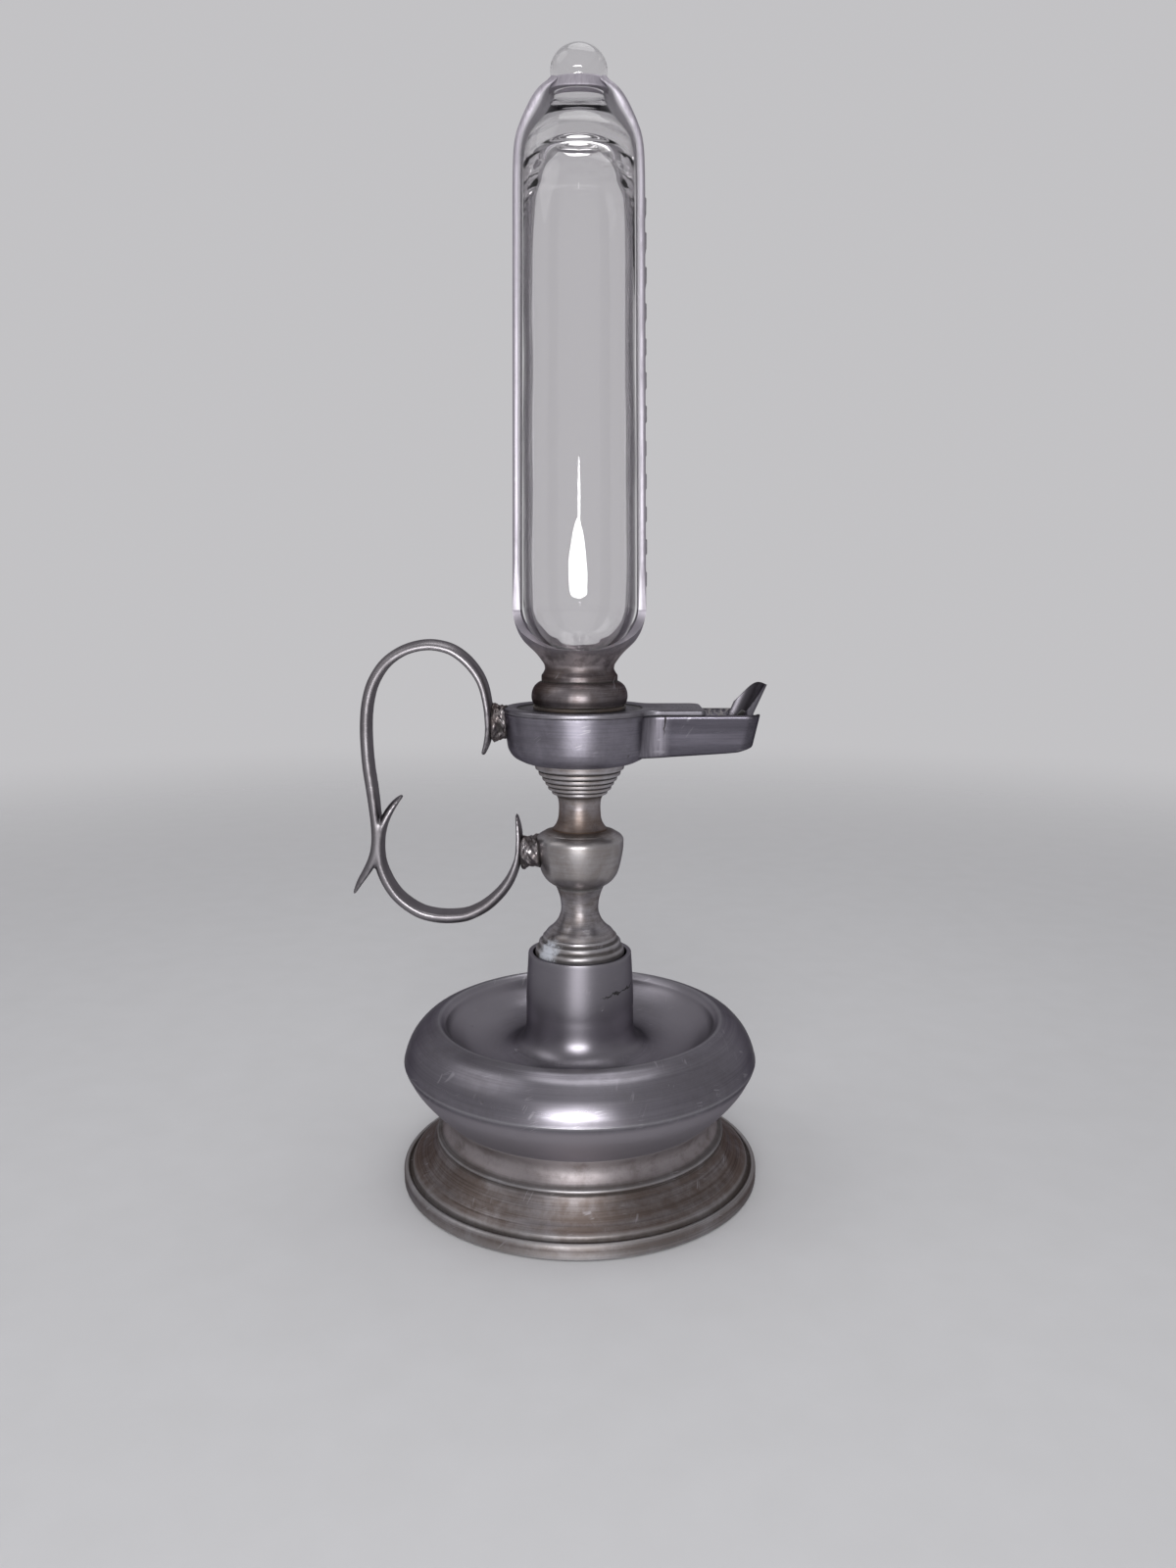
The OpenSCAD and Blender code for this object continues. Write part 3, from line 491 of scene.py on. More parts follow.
foot_high = np.array(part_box("foot"))[1] / MM
foot_r, seam_z, seam_r = foot_high[0], foot_high[2], 45.0
slope_low = np.array([foot_r - 3.0, 0.234 * seam_z])
slope_high = np.array([seam_r + 0.9, 0.59 * seam_z])
neck = np.array([seam_r, seam_z])
cove_low = slope_high + [-1.1, 1.7]
foot_outside = np.vstack([
    eased(np.vstack([steps_from([foot_r, 0], [[-3.6, 0], [0, 0], [0, 3.5], [-0.25, 4.2], [-0.8, 4.6],
                                              [-1.4, 4.5], [-1.9, 3.8], [-2.5, 3.8]]), slope_low]), 0.5),
    smooth(span(slope_low, slope_high, [[0, 0], [0.27, 0.19], [0.53, 0.41], [0.78, 0.69], [1, 1]]), 7),
    eased(steps_from(slope_high, [[0, 0], [0.3, 0.5], [0.2, 1.1], [-0.5, 1.6]]), 0.3),
    smooth(np.vstack([cove_low, span(cove_low, neck - [1.9, 0], [[1, 0.3], [1, 0.62]]), neck]), 8)])
foot_inside = [neck - [3, 0], [seam_r - 4, seam_z - 4.5], slope_high - [2.6, -1.4], slope_high - [2.2, 1.6],
               [foot_r - 5.9, slope_low[1] - 1.2], [foot_r - 3.6, 2.4], [foot_r - 3.6, 0]]
foot = turned("foot_cast", np.vstack([foot_outside, foot_inside]), around=208, wobble=0.12, turn=0.4,
              joints=[seam_z, cove_low[1]])
foot_pewter = pewter("pewter_foot", clean=(0.29, 0.267, 0.272), tarnish=(0.165, 0.132, 0.118), cover=0.44,
                     rough=0.42, lines=0.003, skin=0.012, dirt=0.6, brushed=0.7)
tree = foot_pewter.node_tree
spot = here(tree)
height = split(tree, spot)["Z"]
patches = cloud(tree, spot, 150.0, 6.0, 0.7)
# Painted light: the cove and neck under the bowl are coloured paler in patches, standing in for the light
# they catch
cove_light = ramp(tree, height, (seam_z - 8.6) * MM, (seam_z - 6.6) * MM)
stain(foot_pewter, times(tree, cove_light, ramp(tree, patches, 0.3, 0.6, 0.35, 0.85)), (0.44, 0.40, 0.41),
      rough=0.5)
foot.data.materials.append(foot_pewter)
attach(foot, "lamp")
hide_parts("foot")

# Drip tray: one hollow pewter casting, a bowl with a dished top and the socket tube for the stem in its
# middle. The tube is cracked on its right side, and the bowl keeps a cool grey polish.
tray_high = np.array(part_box("drip_tray"))[1] / MM
tray_r, rim_r, rim_z, tube_z = tray_high[0], 45.3, 52.3, tray_high[2]
belly = np.array([tray_r, seam_z + 0.54 * (rim_z - seam_z)])
crease = np.array([rim_r, rim_z])
dish_z = rim_z - 10.0
tube_r, tenon_r, pin_r, socket_z = 16.2, 14.7, 12.0, tube_z - 11.4
tray_outside = np.vstack([
    smooth(span(neck, belly, [[0, 0], [0.38, 0.28], [0.72, 0.59], [0.925, 0.86], [0.985, 0.972]]), 9),
    eased(span(neck, belly, [[0.985, 0.972], [1, 1], [0.995, 1.03]]), 0.5),
    smooth(np.vstack([span(belly, crease, [[0.012, 0.04], [0.08, 0.25], [0.24, 0.53], [0.52, 0.8],
                                           [0.78, 0.935], [0.93, 0.985]]),
                      crease - [0.3, 0.05], crease - [1.1, 0.45], crease - [2.1, 1.35]]), 9),
    smooth(np.vstack([crease - [2.4, 1.7], span(crease, [tube_r + 0.8, dish_z], [
        [0.15, 0.44], [0.33, 0.82], [0.55, 1], [0.76, 1], [0.91, 0.8]]),
        [[tube_r + 1.3, dish_z + 6], [tube_r + 0.9, dish_z + 12], [tube_r + 0.8, dish_z + 17.5],
         [tube_r, tube_z - 0.4]]]), 9),
    eased([[tube_r, tube_z - 0.4], [tube_r - 0.05, tube_z], [tenon_r, tube_z], [tenon_r, socket_z]], 0.35)])
tray_inside = np.vstack([
    [[pin_r, socket_z]],
    span([pin_r, dish_z - 2.2], [rim_r, rim_z - 3.0], [
        [0, 0], [0.52, 0], [0.72, 0.14], [0.87, 0.55], [0.995, 0.9]]),
    span(neck - [3, 0], belly - [2.8, 0], [[0.56, 1.55], [0.84, 1.36], [0.97, 1.15], [1, 0.9],
                                           [0.75, 0.595], [0.42, 0.28], [0, 0]]), neck[None]])
tray = turned("tray_cast", np.vstack([tray_outside, tray_inside]), around=208, wobble=0.15, turn=1.3,
              joints=[seam_z])
tray_pewter = pewter("pewter_tray", clean=(0.22, 0.208, 0.236), tarnish=(0.175, 0.164, 0.184), cover=0.3,
                     rough=0.30, lines=0.002, skin=0.010, pitted=0.03, brushed=0.4, marked=0.45)
crack_z = 58.8
tree = tray_pewter.node_tree
spot = here(tree)
axes = split(tree, spot)
turn = sums(tree, "ARCTAN2", axes["X"], times(tree, axes["Y"], -1.0))
shiver = cloud(tree, spot, 260.0, 5.0, 0.7)
course = plus(tree, times(tree, turn, 0.0022), times(tree, shiver, 0.0052))
off = off_by(tree, axes["Z"], plus(tree, course, crack_z * MM))
crack = times(tree, ramp(tree, off, 0.00042, 0.0001), ramp(tree, turn, 0.36, 0.55))
crack = times(tree, crack, ramp(tree, turn, 1.55, 1.25))
flat = node(tree, "CombineXYZ", {"X": axes["X"], "Y": axes["Y"]}).outputs[0]
across = length_of(tree, flat)
tube_only = ramp(tree, across, (tube_r + 4.8) * MM, (tube_r + 2.8) * MM)
aside = sums(tree, "ABSOLUTE", axes["X"], 0.0)
dish_side_light = ramp(tree, aside, (tube_r + 0.8) * MM, (tube_r + 15.8) * MM, 0.0, 0.8)
in_dish = times(tree, ramp(tree, across, (rim_r - 0.1) * MM, (rim_r - 2.8) * MM),
                ramp(tree, across, (tube_r + 2.3) * MM, (tube_r + 5.3) * MM))
# Painted light: the left and right sides of the dish are coloured paler, standing in for the light they
# reflect
stain(tray_pewter, times(tree, in_dish, dish_side_light), (0.33, 0.312, 0.345), rough=0.4)
stain(tray_pewter, times(tree, tube_only, 0.8), (0.262, 0.248, 0.276), rough=0.36)
# A thin dark line just inside the crease of the rim, on the front only
front = times(tree, ramp(tree, turn, -0.5, -0.3), ramp(tree, turn, 0.3, 0.05))
off = off_by(tree, across, (rim_r - 1.2) * MM)
crease_dark_line = times(tree, ramp(tree, off, 0.0005, 0.0001), ramp(tree, shiver, 0.42, 0.55, 0.2, 1.0))
stain(tray_pewter, times(tree, crease_dark_line, front), (0.05, 0.045, 0.048), rough=0.6, metal=0.6)
# Painted light: the bowl below its widest ring is coloured paler, standing in for light thrown up from below
underside_light = ramp(tree, axes["Z"], (belly[1] - 0.6) * MM, (belly[1] - 2.6) * MM, 0.0, 0.85)
stain(tray_pewter, underside_light, (0.40, 0.375, 0.41), rough=0.5)
stain(tray_pewter, times(tree, crack, tube_only), (0.02, 0.018, 0.018), rough=0.7, metal=0.2)
tray.data.materials.append(tray_pewter)
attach(tray, "lamp")
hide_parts("drip_tray")

# Lower stem: turned pewter with three base rings and a waisted neck, tenoned into the socket tube.
# Dark specks and a patch of white solder residue show at its foot.
stem_low, stem_high = np.array(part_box("lower_stem")) / MM
stem_r, knop_z, waist_r = stem_high[0], stem_high[2], 5.85
tenon_z = stem_low[2]
lower_profile = np.vstack([
    eased(np.vstack([
        [[0, tenon_z], [pin_r - 0.1, tenon_z], [pin_r - 0.1, tenon_z + 4], [stem_r, tenon_z + 4]],
        steps_from([stem_r, tube_z], [[0, 0], [-0.2, 1.6], [-1.1, 2.0], [-1.15, 3.5], [-1.6, 3.9],
                                      [-2.35, 3.9], [-2.4, 5.3], [-2.9, 5.6]])]), 0.45),
    smooth(span([stem_r - 2.95, tube_z + 5.6], [waist_r, knop_z], [
        [0, 0], [0.18, 0.09], [0.45, 0.165], [0.73, 0.27], [0.92, 0.4], [1, 0.53], [0.96, 0.71],
        [0.83, 0.87], [0.67, 1]]), 8),
    [[0, knop_z]]])
lower_stem = turned("stem_lower", lower_profile, around=144, wobble=0.06, turn=0.2,
                    joints=[tube_z + 0.2, knop_z])
stem_pewter = pewter("pewter_stem", clean=(0.42, 0.40, 0.425), tarnish=(0.22, 0.195, 0.19), cover=0.40,
                     rough=0.32, lines=0.002, skin=0.02, pitted=0.16, brushed=0.55)
residue = (-10.8, -9.2, tube_z + 2.3)
tree = stem_pewter.node_tree
spot = here(tree)
apart = distance(tree, spot, residue)
flakes = cloud(tree, spot, 420.0, 6.0, 0.75)
white = ramp(tree, plus(tree, apart, times(tree, flakes, 0.011)), 0.0112, 0.0072)
stain(stem_pewter, white, (0.55, 0.57, 0.62), rough=0.65, metal=0.25)
lower_stem.data.materials.append(stem_pewter)
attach(lower_stem, "lamp")
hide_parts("lower_stem")

# Knop: turned pewter swelling in the middle of the stem, round below and with a firm shoulder above. It is
# soldered between the two necks, with brown tarnish on the shoulder, and holds the lower end of the handle.
knop_high = np.array(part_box("knop"))[1] / MM
knop_r, upper_z = knop_high[0], knop_high[2]
knop_profile = np.vstack([
    [[0, knop_z], [waist_r + 1.9, knop_z]],
    smooth(span([waist_r + 2.3, knop_z], [knop_r, upper_z], [
        [0, 0.02], [0.38, 0.105], [0.67, 0.235], [0.84, 0.41], [0.96, 0.61], [1, 0.76], [0.98, 0.84],
        [0.82, 0.9], [0.55, 0.945]]), 8),
    eased([[knop_r - 2.6, upper_z - 0.85], [knop_r - 5.1, upper_z], [0, upper_z]], 0.4)])
knop = turned("stem_knop", knop_profile, around=144, wobble=0.07, turn=2.0, joints=[knop_z, upper_z])
knop_pewter = pewter("pewter_knop", clean=(0.47, 0.45, 0.46), tarnish=(0.33, 0.30, 0.29), cover=0.36,
                     rough=0.31, lines=0.002, skin=0.014, pitted=0.10, brushed=0.5, marked=0.5)
tree = knop_pewter.node_tree
spot = here(tree)
height = split(tree, spot)["Z"]
patches = cloud(tree, spot, 240.0, 6.0, 0.7)
shoulder = ramp(tree, plus(tree, height, times(tree, patches, 0.004)),
                upper_z * MM, (upper_z + 2.4) * MM, 0.0, 0.8)
stain(knop_pewter, shoulder, (0.15, 0.115, 0.098), rough=0.42, metal=0.9)
knop.data.materials.append(knop_pewter)
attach(knop, "lamp")
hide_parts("knop")

# Upper stem: turned pewter neck that widens in five stepped rings under the oil font.
# Brown tarnish has crept up its foot from the solder seam on the knop.
upper_high = np.array(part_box("upper_stem"))[1] / MM
font_z, ring_r, neck_r = upper_high[2], 13.9, 6.45
groove = 0.05
ring_steps = ((0.29, 0.527, 0.582), (0.45, 0.593, 0.650), (0.56, 0.661, 0.720), (0.69, 0.731, 0.797),
              (0.84, 0.809, 0.879))
rings = [[[r - groove, low], [r, low + 0.012], [r + 0.01, high - 0.014], [r - 0.6 * groove, high]]
         for r, low, high in ring_steps]
upper_profile = np.vstack([
    [[0, upper_z]],
    smooth(span([knop_r - 5.1, upper_z], [neck_r, font_z], [
        [0, 0], [0.5, 0.065], [0.85, 0.15], [0.98, 0.26], [1, 0.37], [0.86, 0.46], [0.62, 0.51]]), 8),
    eased(span([neck_r, upper_z], [ring_r, font_z], [
        [0.20, 0.525], *sum(rings, []), [0.92, 0.892], [0.98, 0.905], [1.0, 0.96], [1.03, 1]]), 0.32),
    [[0, font_z]]])
upper_stem = turned("stem_upper", upper_profile, around=144, wobble=0.06, turn=3.1,
                    joints=[upper_z, font_z])
upper_pewter = pewter("pewter_rings", clean=(0.54, 0.517, 0.55), tarnish=(0.34, 0.297, 0.285), cover=0.38,
                      rough=0.36, lines=0.002, skin=0.016, pitted=0.13, dirt=0.95, brushed=0.6)
tree = upper_pewter.node_tree
spot = here(tree)
height = split(tree, spot)["Z"]
patches = cloud(tree, spot, 190.0, 6.0, 0.7)
creep = ramp(tree, plus(tree, height, times(tree, patches, 0.011)), (font_z - 0.8) * MM,
             (font_z - 15.8) * MM, 0.0, 0.75)
stain(upper_pewter, creep, (0.115, 0.075, 0.055), rough=0.45, metal=0.8)
upper_stem.data.materials.append(upper_pewter)
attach(upper_stem, "lamp")
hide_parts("upper_stem")

# Font cup: round oil cup of pewter sheet with a rounded lower edge, soldered on the stepped rings.
# Its wall is cut open towards the spout, so the oil can run to the wick.
cup_high = np.array(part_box("font_cup"))[1] / MM
font_r, cover_z = round(float(cup_high[1]), 1), cup_high[2]
sheet, cup_floor, trough_z, trough_y = 1.6, font_z + 1.6, font_z + 5.3, 7.05
cup_side = smooth(span([ring_r + 0.6, font_z], [font_r, cover_z], [
    [0, 0], [0.24, 0.005], [0.47, 0.06], [0.67, 0.13], [0.82, 0.25], [0.89, 0.41], [1, 1]]), 8)
level = np.linspace(trough_z, cover_z - 0.25, 14)
wall_r = np.interp(level, cup_side[:, 1], cup_side[:, 0])
cup_lower = cup_side[cup_side[:, 1] < trough_z - 0.05]
cup_rim = np.array([[font_r - 0.06, cover_z - 0.07], [font_r - 0.25, cover_z],
                    [font_r - sheet + 0.25, cover_z], [font_r - sheet + 0.06, cover_z - 0.07]])
inner_low = cup_lower[cup_lower[:, 1] > cup_floor + 0.4][::-1] - [sheet, 0]
cup_profile = np.vstack([
    [[0, font_z]], cup_lower, np.stack([wall_r, level], 1), cup_rim,
    np.stack([wall_r - sheet, level], 1)[::-1], inner_low,
    [[inner_low[-1, 0] - 0.8, cup_floor], [0, cup_floor]]])
gap_turn = math.asin(trough_y / (font_r - 0.6 * sheet))
gap_cols = 18
cup_turn = np.concatenate([np.linspace(-gap_turn, gap_turn, gap_cols + 1),
                           np.linspace(gap_turn, 2 * np.pi - gap_turn, 168)[1:-1]])[None, :]
cup_cols = cup_turn.size
cup_points = np.stack([cup_profile[:, :1] * np.cos(cup_turn), cup_profile[:, :1] * np.sin(cup_turn),
                       np.broadcast_to(cup_profile[:, 1:], (len(cup_profile), cup_cols))], -1)
first = 1 + len(cup_lower)
last = first + 2 * len(level) + len(cup_rim) - 1
cup_faces = quads(len(cup_profile), cup_cols, wrap_cols=True)
row, col = cup_faces[:, 0] // cup_cols, cup_faces[:, 0] % cup_cols
cup_faces = cup_faces[~((row >= first) & (row < last) & (col < gap_cols))]
step = np.arange(gap_cols)
sill = np.stack([first * cup_cols + step, first * cup_cols + step + 1, last * cup_cols + step + 1,
                 last * cup_cols + step], 1)
up = np.arange((last - first) // 2)
jamb = np.stack([(first + up) * cup_cols, (last - up) * cup_cols, (last - up - 1) * cup_cols,
                 (first + up + 1) * cup_cols], 1)
cup_faces = np.vstack([cup_faces, sill, jamb, jamb[:, ::-1] + gap_cols])
seam_dirt = np.exp(-((cup_profile[:, 1] - font_z) / 0.5) ** 2)
cup_dirt = np.clip(np.clip(2.2 * hollows(cup_profile), 0, 1) + 0.7 * seam_dirt, 0, 1)
cup = put("font_cup_sheet", cup_points, cup_faces, grime=cup_dirt[:, None] * np.ones((1, cup_cols)))
font_pewter = pewter("pewter_font", clean=(0.29, 0.275, 0.32), tarnish=(0.20, 0.188, 0.218), cover=0.34,
                     rough=0.38, lines=0.003, skin=0.012, pitted=0.05, brushed=0.7, marked=0.6)
cup.data.materials.append(font_pewter)
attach(cup, "lamp")
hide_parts("font_cup")

# Spout: straight trough of pewter sheet with a sloping bottom and a raked, notched end, soldered into the
# cup. The joint is filed to a hollow curve, and a ragged line of solder shows past it.
spout_high = np.array(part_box("spout"))[1] / MM
spout_end, spout_y, fillet, spout_t, rake = spout_high[0], spout_high[1], 6.0, 1.2, 2.2
end_low = font_z + 5.2
round_x = math.sqrt((font_r + fillet) ** 2 - (spout_y + fillet) ** 2)
touch = math.atan2(spout_y + fillet, round_x)
sweep_turn = np.linspace(math.pi - touch, math.pi / 2, 12)
fillet_line = np.stack([round_x + fillet * np.cos(sweep_turn),
                        -(spout_y + fillet) + fillet * np.sin(sweep_turn)], 1)
corner = 4.0
bend_turn = np.linspace(-math.pi / 2, 0, 14)
corner_line = np.stack([spout_end - corner + corner * np.cos(bend_turn),
                        -spout_y + corner + corner * np.sin(bend_turn)], 1)
side_x = np.linspace(round_x, spout_end - corner, 26)[1:-1]
side_line = np.stack([side_x, np.full(side_x.shape, -spout_y)], 1)
notch = 6.5
end_y = np.array([-spout_y + corner, -3.4, -2.5, -1.2])
half_line = np.vstack([0.7 * fillet_line[:1], fillet_line, side_line, corner_line,
                       np.stack([np.full(4, spout_end), end_y], 1)[1:]])
plan = np.vstack([half_line, half_line[::-1] * [1, -1]])
heading = np.gradient(plan, axis=0)
heading = heading / np.linalg.norm(heading, axis=1)[:, None]
outward = np.stack([heading[:, 1], -heading[:, 0]], 1)
inner = plan - outward * spout_t
on_fillet = plan[:, 0] < round_x + 0.01
inner[:, 1] = np.where(on_fillet, np.sign(plan[:, 1]) * (spout_y - spout_t), inner[:, 1])
spine = np.stack([np.minimum(plan[:, 0], spout_end - spout_y), np.zeros(len(plan))], 1)


def underside(x):
    """Height of the sloping bottom at a distance x from the lamp axis."""
    return np.interp(x, [0, spout_end - rake - 2.2, spout_end], [font_z + 1.1, font_z + 4.1, end_low])


in_notch = (np.abs(plan[:, 1]) < notch) & (plan[:, 0] > spout_end - 2.0)
lip = np.where(in_notch, cover_z - 3.6, cover_z)
low_edge = underside(plan[:, 0])
edge_round = 0.9
quarter = np.linspace(0, math.pi / 2, 5)


def shift(base, way, amount, z):
    """Points moved by amount along way in plan, at height z."""
    spread = base + way * np.asarray(amount)[..., None]
    return np.concatenate([spread, np.broadcast_to(np.asarray(z, float), spread.shape[:1])[:, None]], 1)


def gentle(share):
    """Smooth step of a share, held between 0 and 1: it starts and ends level."""
    share = np.clip(share, 0, 1)
    return share ** 2 * (3 - 2 * share)


flat_way = outward * 0
rows = [shift(spine, flat_way, 0.0, underside(spine[:, 0])),
        shift((spine + plan) / 2, flat_way, 0.0, low_edge)]
rows += [shift(plan, outward, -edge_round * (1 - math.sin(q)), low_edge + edge_round * (1 - math.cos(q)))
         for q in quarter]
rows += [shift(plan, flat_way, 0.0, low_edge + 0.9 + s * (lip - low_edge - 1.15))
         for s in np.linspace(0, 1, 14)[1:]]
lip_row = len(rows) + 1
rows += [shift(plan, outward, -0.25, lip), shift(inner, outward, 0.25, lip),
         shift(inner, flat_way, 0.0, lip - 0.25)]
rows += [shift(inner, flat_way, 0.0, trough_z + 0.8 + s * (lip - trough_z - 1.05))
         for s in (0.66, 0.33, 0.0)]
rows += [shift(inner, outward, -0.25, trough_z + 0.22), shift(inner, outward, -0.8, trough_z)]
rows += [shift((spine + inner) / 2, flat_way, 0.0, trough_z), shift(spine, flat_way, 0.0, trough_z)]
spout_points = np.stack(rows)
lean_from = 44.0
lean_share = np.clip((spout_points[..., 0] - lean_from) / (spout_end - corner - lean_from), 0, 1)
spout_points[..., 0] += lean_share * (spout_points[..., 2] - cover_z) * rake / (cover_z - end_low)
on_cup = gentle((round_x - plan[:, 0]) / (round_x - fillet_line[0, 0]))
inset = (font_r - np.interp(spout_points[..., 2], cup_side[:, 1], cup_side[:, 0])) * on_cup
spout_points[..., :2] -= inset[..., None] * (plan / np.linalg.norm(plan, axis=1)[:, None])
past_cup = np.clip((spout_points[..., 0] - 18.0) / 10.0, 0, 1)
to_end = np.clip((spout_points[..., 0] - 26.0) / 28.0, 0, 1)
narrow = past_cup * (cover_z - spout_points[..., 2]) / (cover_z - font_z)
spout_points[..., 1] *= 1 - 0.11 * narrow - 0.05 * to_end
spout_points[..., 1] += 0.06 * np.sin(spout_points[..., 0] / 7.0) * np.sin(spout_points[..., 2] / 5.0)
spout = put("spout_trough", spout_points, quads(len(rows), len(plan)), fill=True,
            inside=(np.arange(len(rows))[:, None] > lip_row) * np.ones((1, len(plan))))
spout_pewter = pewter("pewter_spout", clean=(0.112, 0.105, 0.127), tarnish=(0.098, 0.091, 0.11), cover=0.1,
                      rough=0.27, skin=0.006, marked=0.7, filed=(70.0, 2400.0, 2400.0))
solder_x = 24.6
tree = spout_pewter.node_tree
spot = here(tree)
axes = split(tree, spot)
blobs = cloud(tree, spot, 320.0, 4.0, 0.6)
line_x = plus(tree, solder_x * MM, times(tree, blobs, 0.0024))
off = off_by(tree, axes["X"], line_x)
solder = times(tree, ramp(tree, off, 0.00028, 0.00006),
               ramp(tree, axes["Z"], (font_z + 8.2) * MM, (font_z + 12.2) * MM))
filed = node(tree, "Mapping", {"Vector": spot, "Scale": (2600.0, 900.0, 90.0)}).outputs[0]
strokes = cloud(tree, filed, 1.0, 3.0)
near_joint = ramp(tree, axes["X"], (solder_x + 3.6) * MM, (solder_x - 1.0) * MM)
stain(spout_pewter, times(tree, near_joint, ramp(tree, strokes, 0.35, 0.65, 0.5, 1.0)),
      (0.215, 0.202, 0.232), rough=0.4)
lip_edge = ramp(tree, axes["Z"], (cover_z - 0.7) * MM, (cover_z - 0.3) * MM, 0.0, 0.9)
stain(spout_pewter, lip_edge, (0.055, 0.051, 0.06), rough=0.42)
stain(spout_pewter, solder, (0.035, 0.03, 0.03), rough=0.6, metal=0.3)
shader = tree.nodes["Principled BSDF"]
old_bump = shader.inputs["Normal"].links[0].from_node
old_height = old_bump.inputs["Height"].links[0].from_socket
raised = plus(tree, times(tree, solder, -0.08), times(tree, times(tree, strokes, near_joint), 0.02))
brushed = node(tree, "Mapping", {"Vector": spot, "Scale": (60.0, 200.0, 2300.0)}).outputs[0]
brush = cloud(tree, brushed, 1.0, 3.0)
raised = plus(tree, raised, times(tree, brush, 0.005))
tree.links.new(plus(tree, old_height, raised), old_bump.inputs["Height"])
soot = times(tree, ramp(tree, axes["Z"], (cover_z - 2) * MM, (cover_z - 6.8) * MM),
             ramp(tree, axes["X"], 30 * MM, 40 * MM))
inside = point_layer(tree, "inside")
stain(spout_pewter, times(tree, soot, inside), (0.03, 0.025, 0.02), rough=0.5, metal=0.3)
trough = times(tree, inside, ramp(tree, axes["X"], 36 * MM, 39 * MM))
crumbs = cloud(tree, spot, 900.0, 4.0, 0.7)
trough = times(tree, trough, ramp(tree, axes["Z"], (trough_z + 3) * MM, (cover_z - 1) * MM, 0.2, 1.0))
stain(spout_pewter, times(tree, trough, ramp(tree, crumbs, 0.44, 0.66)), (0.36, 0.34, 0.335), rough=0.8,
      metal=0.2)
spout.data.materials.append(spout_pewter)
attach(spout, "lamp")
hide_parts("spout")

# Font cover: keyhole-shaped plate of pewter sheet over the cup and the inner half of the trough.
# It is soldered down, with a shallow round seat and a hole for the spigot of the reservoir.
cover_high = np.array(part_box("font_cover"))[1] / MM
top_z, tongue_x, seat_r, hole_r = cover_high[2], cover_high[0], font_r - 4.0, 9.3
seat_z = top_z - 0.6
back_corner = 3.0
corner_turn = np.linspace(0, math.pi / 2, 9)
tongue = np.vstack([
    np.stack([np.linspace(round_x, tongue_x - 0.3, 14), np.full(14, -spout_y)], 1),
    [[tongue_x, -spout_y + 0.3]],
    np.stack([np.full(5, tongue_x), np.linspace(-spout_y + 2, spout_y - back_corner - 1, 5)], 1),
    np.stack([tongue_x - back_corner + back_corner * np.cos(corner_turn),
              spout_y - back_corner + back_corner * np.sin(corner_turn)], 1),
    np.stack([np.linspace(tongue_x - back_corner, round_x, 12)[1:], np.full(11, spout_y)], 1)])
disc_turn = np.linspace(touch, 2 * math.pi - touch, 150)[1:-1]
outline = np.vstack([fillet_line[:-1], tongue, (fillet_line * [1, -1])[::-1][1:],
                     font_r * np.stack([np.cos(disc_turn), np.sin(disc_turn)], 1)])
ray = outline / np.linalg.norm(outline, axis=1)[:, None]


def loop(r, z):
    """Closed line of the plate at height z: r is one radius, or the radius of each point."""
    return np.concatenate([ray * np.reshape(r, (-1, 1)), np.full((len(ray), 1), z)], 1)


reach = np.linalg.norm(outline, axis=1)
cover_rows = np.stack([loop(r, z) for r, z in (
    (hole_r, cover_z), (reach - 0.25, cover_z), (reach - 0.05, cover_z + 0.12), (reach, cover_z + 0.35),
    (reach, top_z - 0.45), (reach - 0.08, top_z - 0.18), (reach - 0.4, top_z),
    (seat_r * 0.45 + reach * 0.55, top_z), (seat_r + 0.35, top_z), (seat_r + 0.08, top_z - 0.1),
    (seat_r, top_z - 0.3), (seat_r - 0.05, seat_z + 0.08), (seat_r - 0.3, seat_z), (14.0, seat_z),
    (hole_r + 0.2, seat_z), (hole_r, seat_z - 0.2))])
cover_grime = np.zeros(len(cover_rows))
cover_grime[[0, 1, 10, 11, 12]] = (0.7, 0.8, 0.6, 1.0, 0.8)
cover = put("font_cover_plate", cover_rows, quads(len(cover_rows), len(ray), True, True),
            grime=cover_grime[:, None] * np.ones((1, len(ray))))
cover_pewter = pewter("pewter_cover", clean=(0.30, 0.29, 0.32), tarnish=(0.19, 0.18, 0.20), cover=0.38,
                      rough=0.32, lines=0.002, skin=0.02, pitted=0.08)
tree = cover_pewter.node_tree
axes = split(tree, here(tree))
aside = sums(tree, "ABSOLUTE", axes["Y"], 0.0)
sheet_edge = ramp(tree, aside, (spout_y - 1.1) * MM, (spout_y - 0.5) * MM, 0.0, 0.9)
sheet_edge = times(tree, sheet_edge, ramp(tree, axes["X"], (round_x - 2) * MM, (round_x + 1) * MM))
stain(cover_pewter, sheet_edge, (0.10, 0.095, 0.108), rough=0.45)
cover.data.materials.append(cover_pewter)
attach(cover, "lamp")
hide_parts("font_cover")

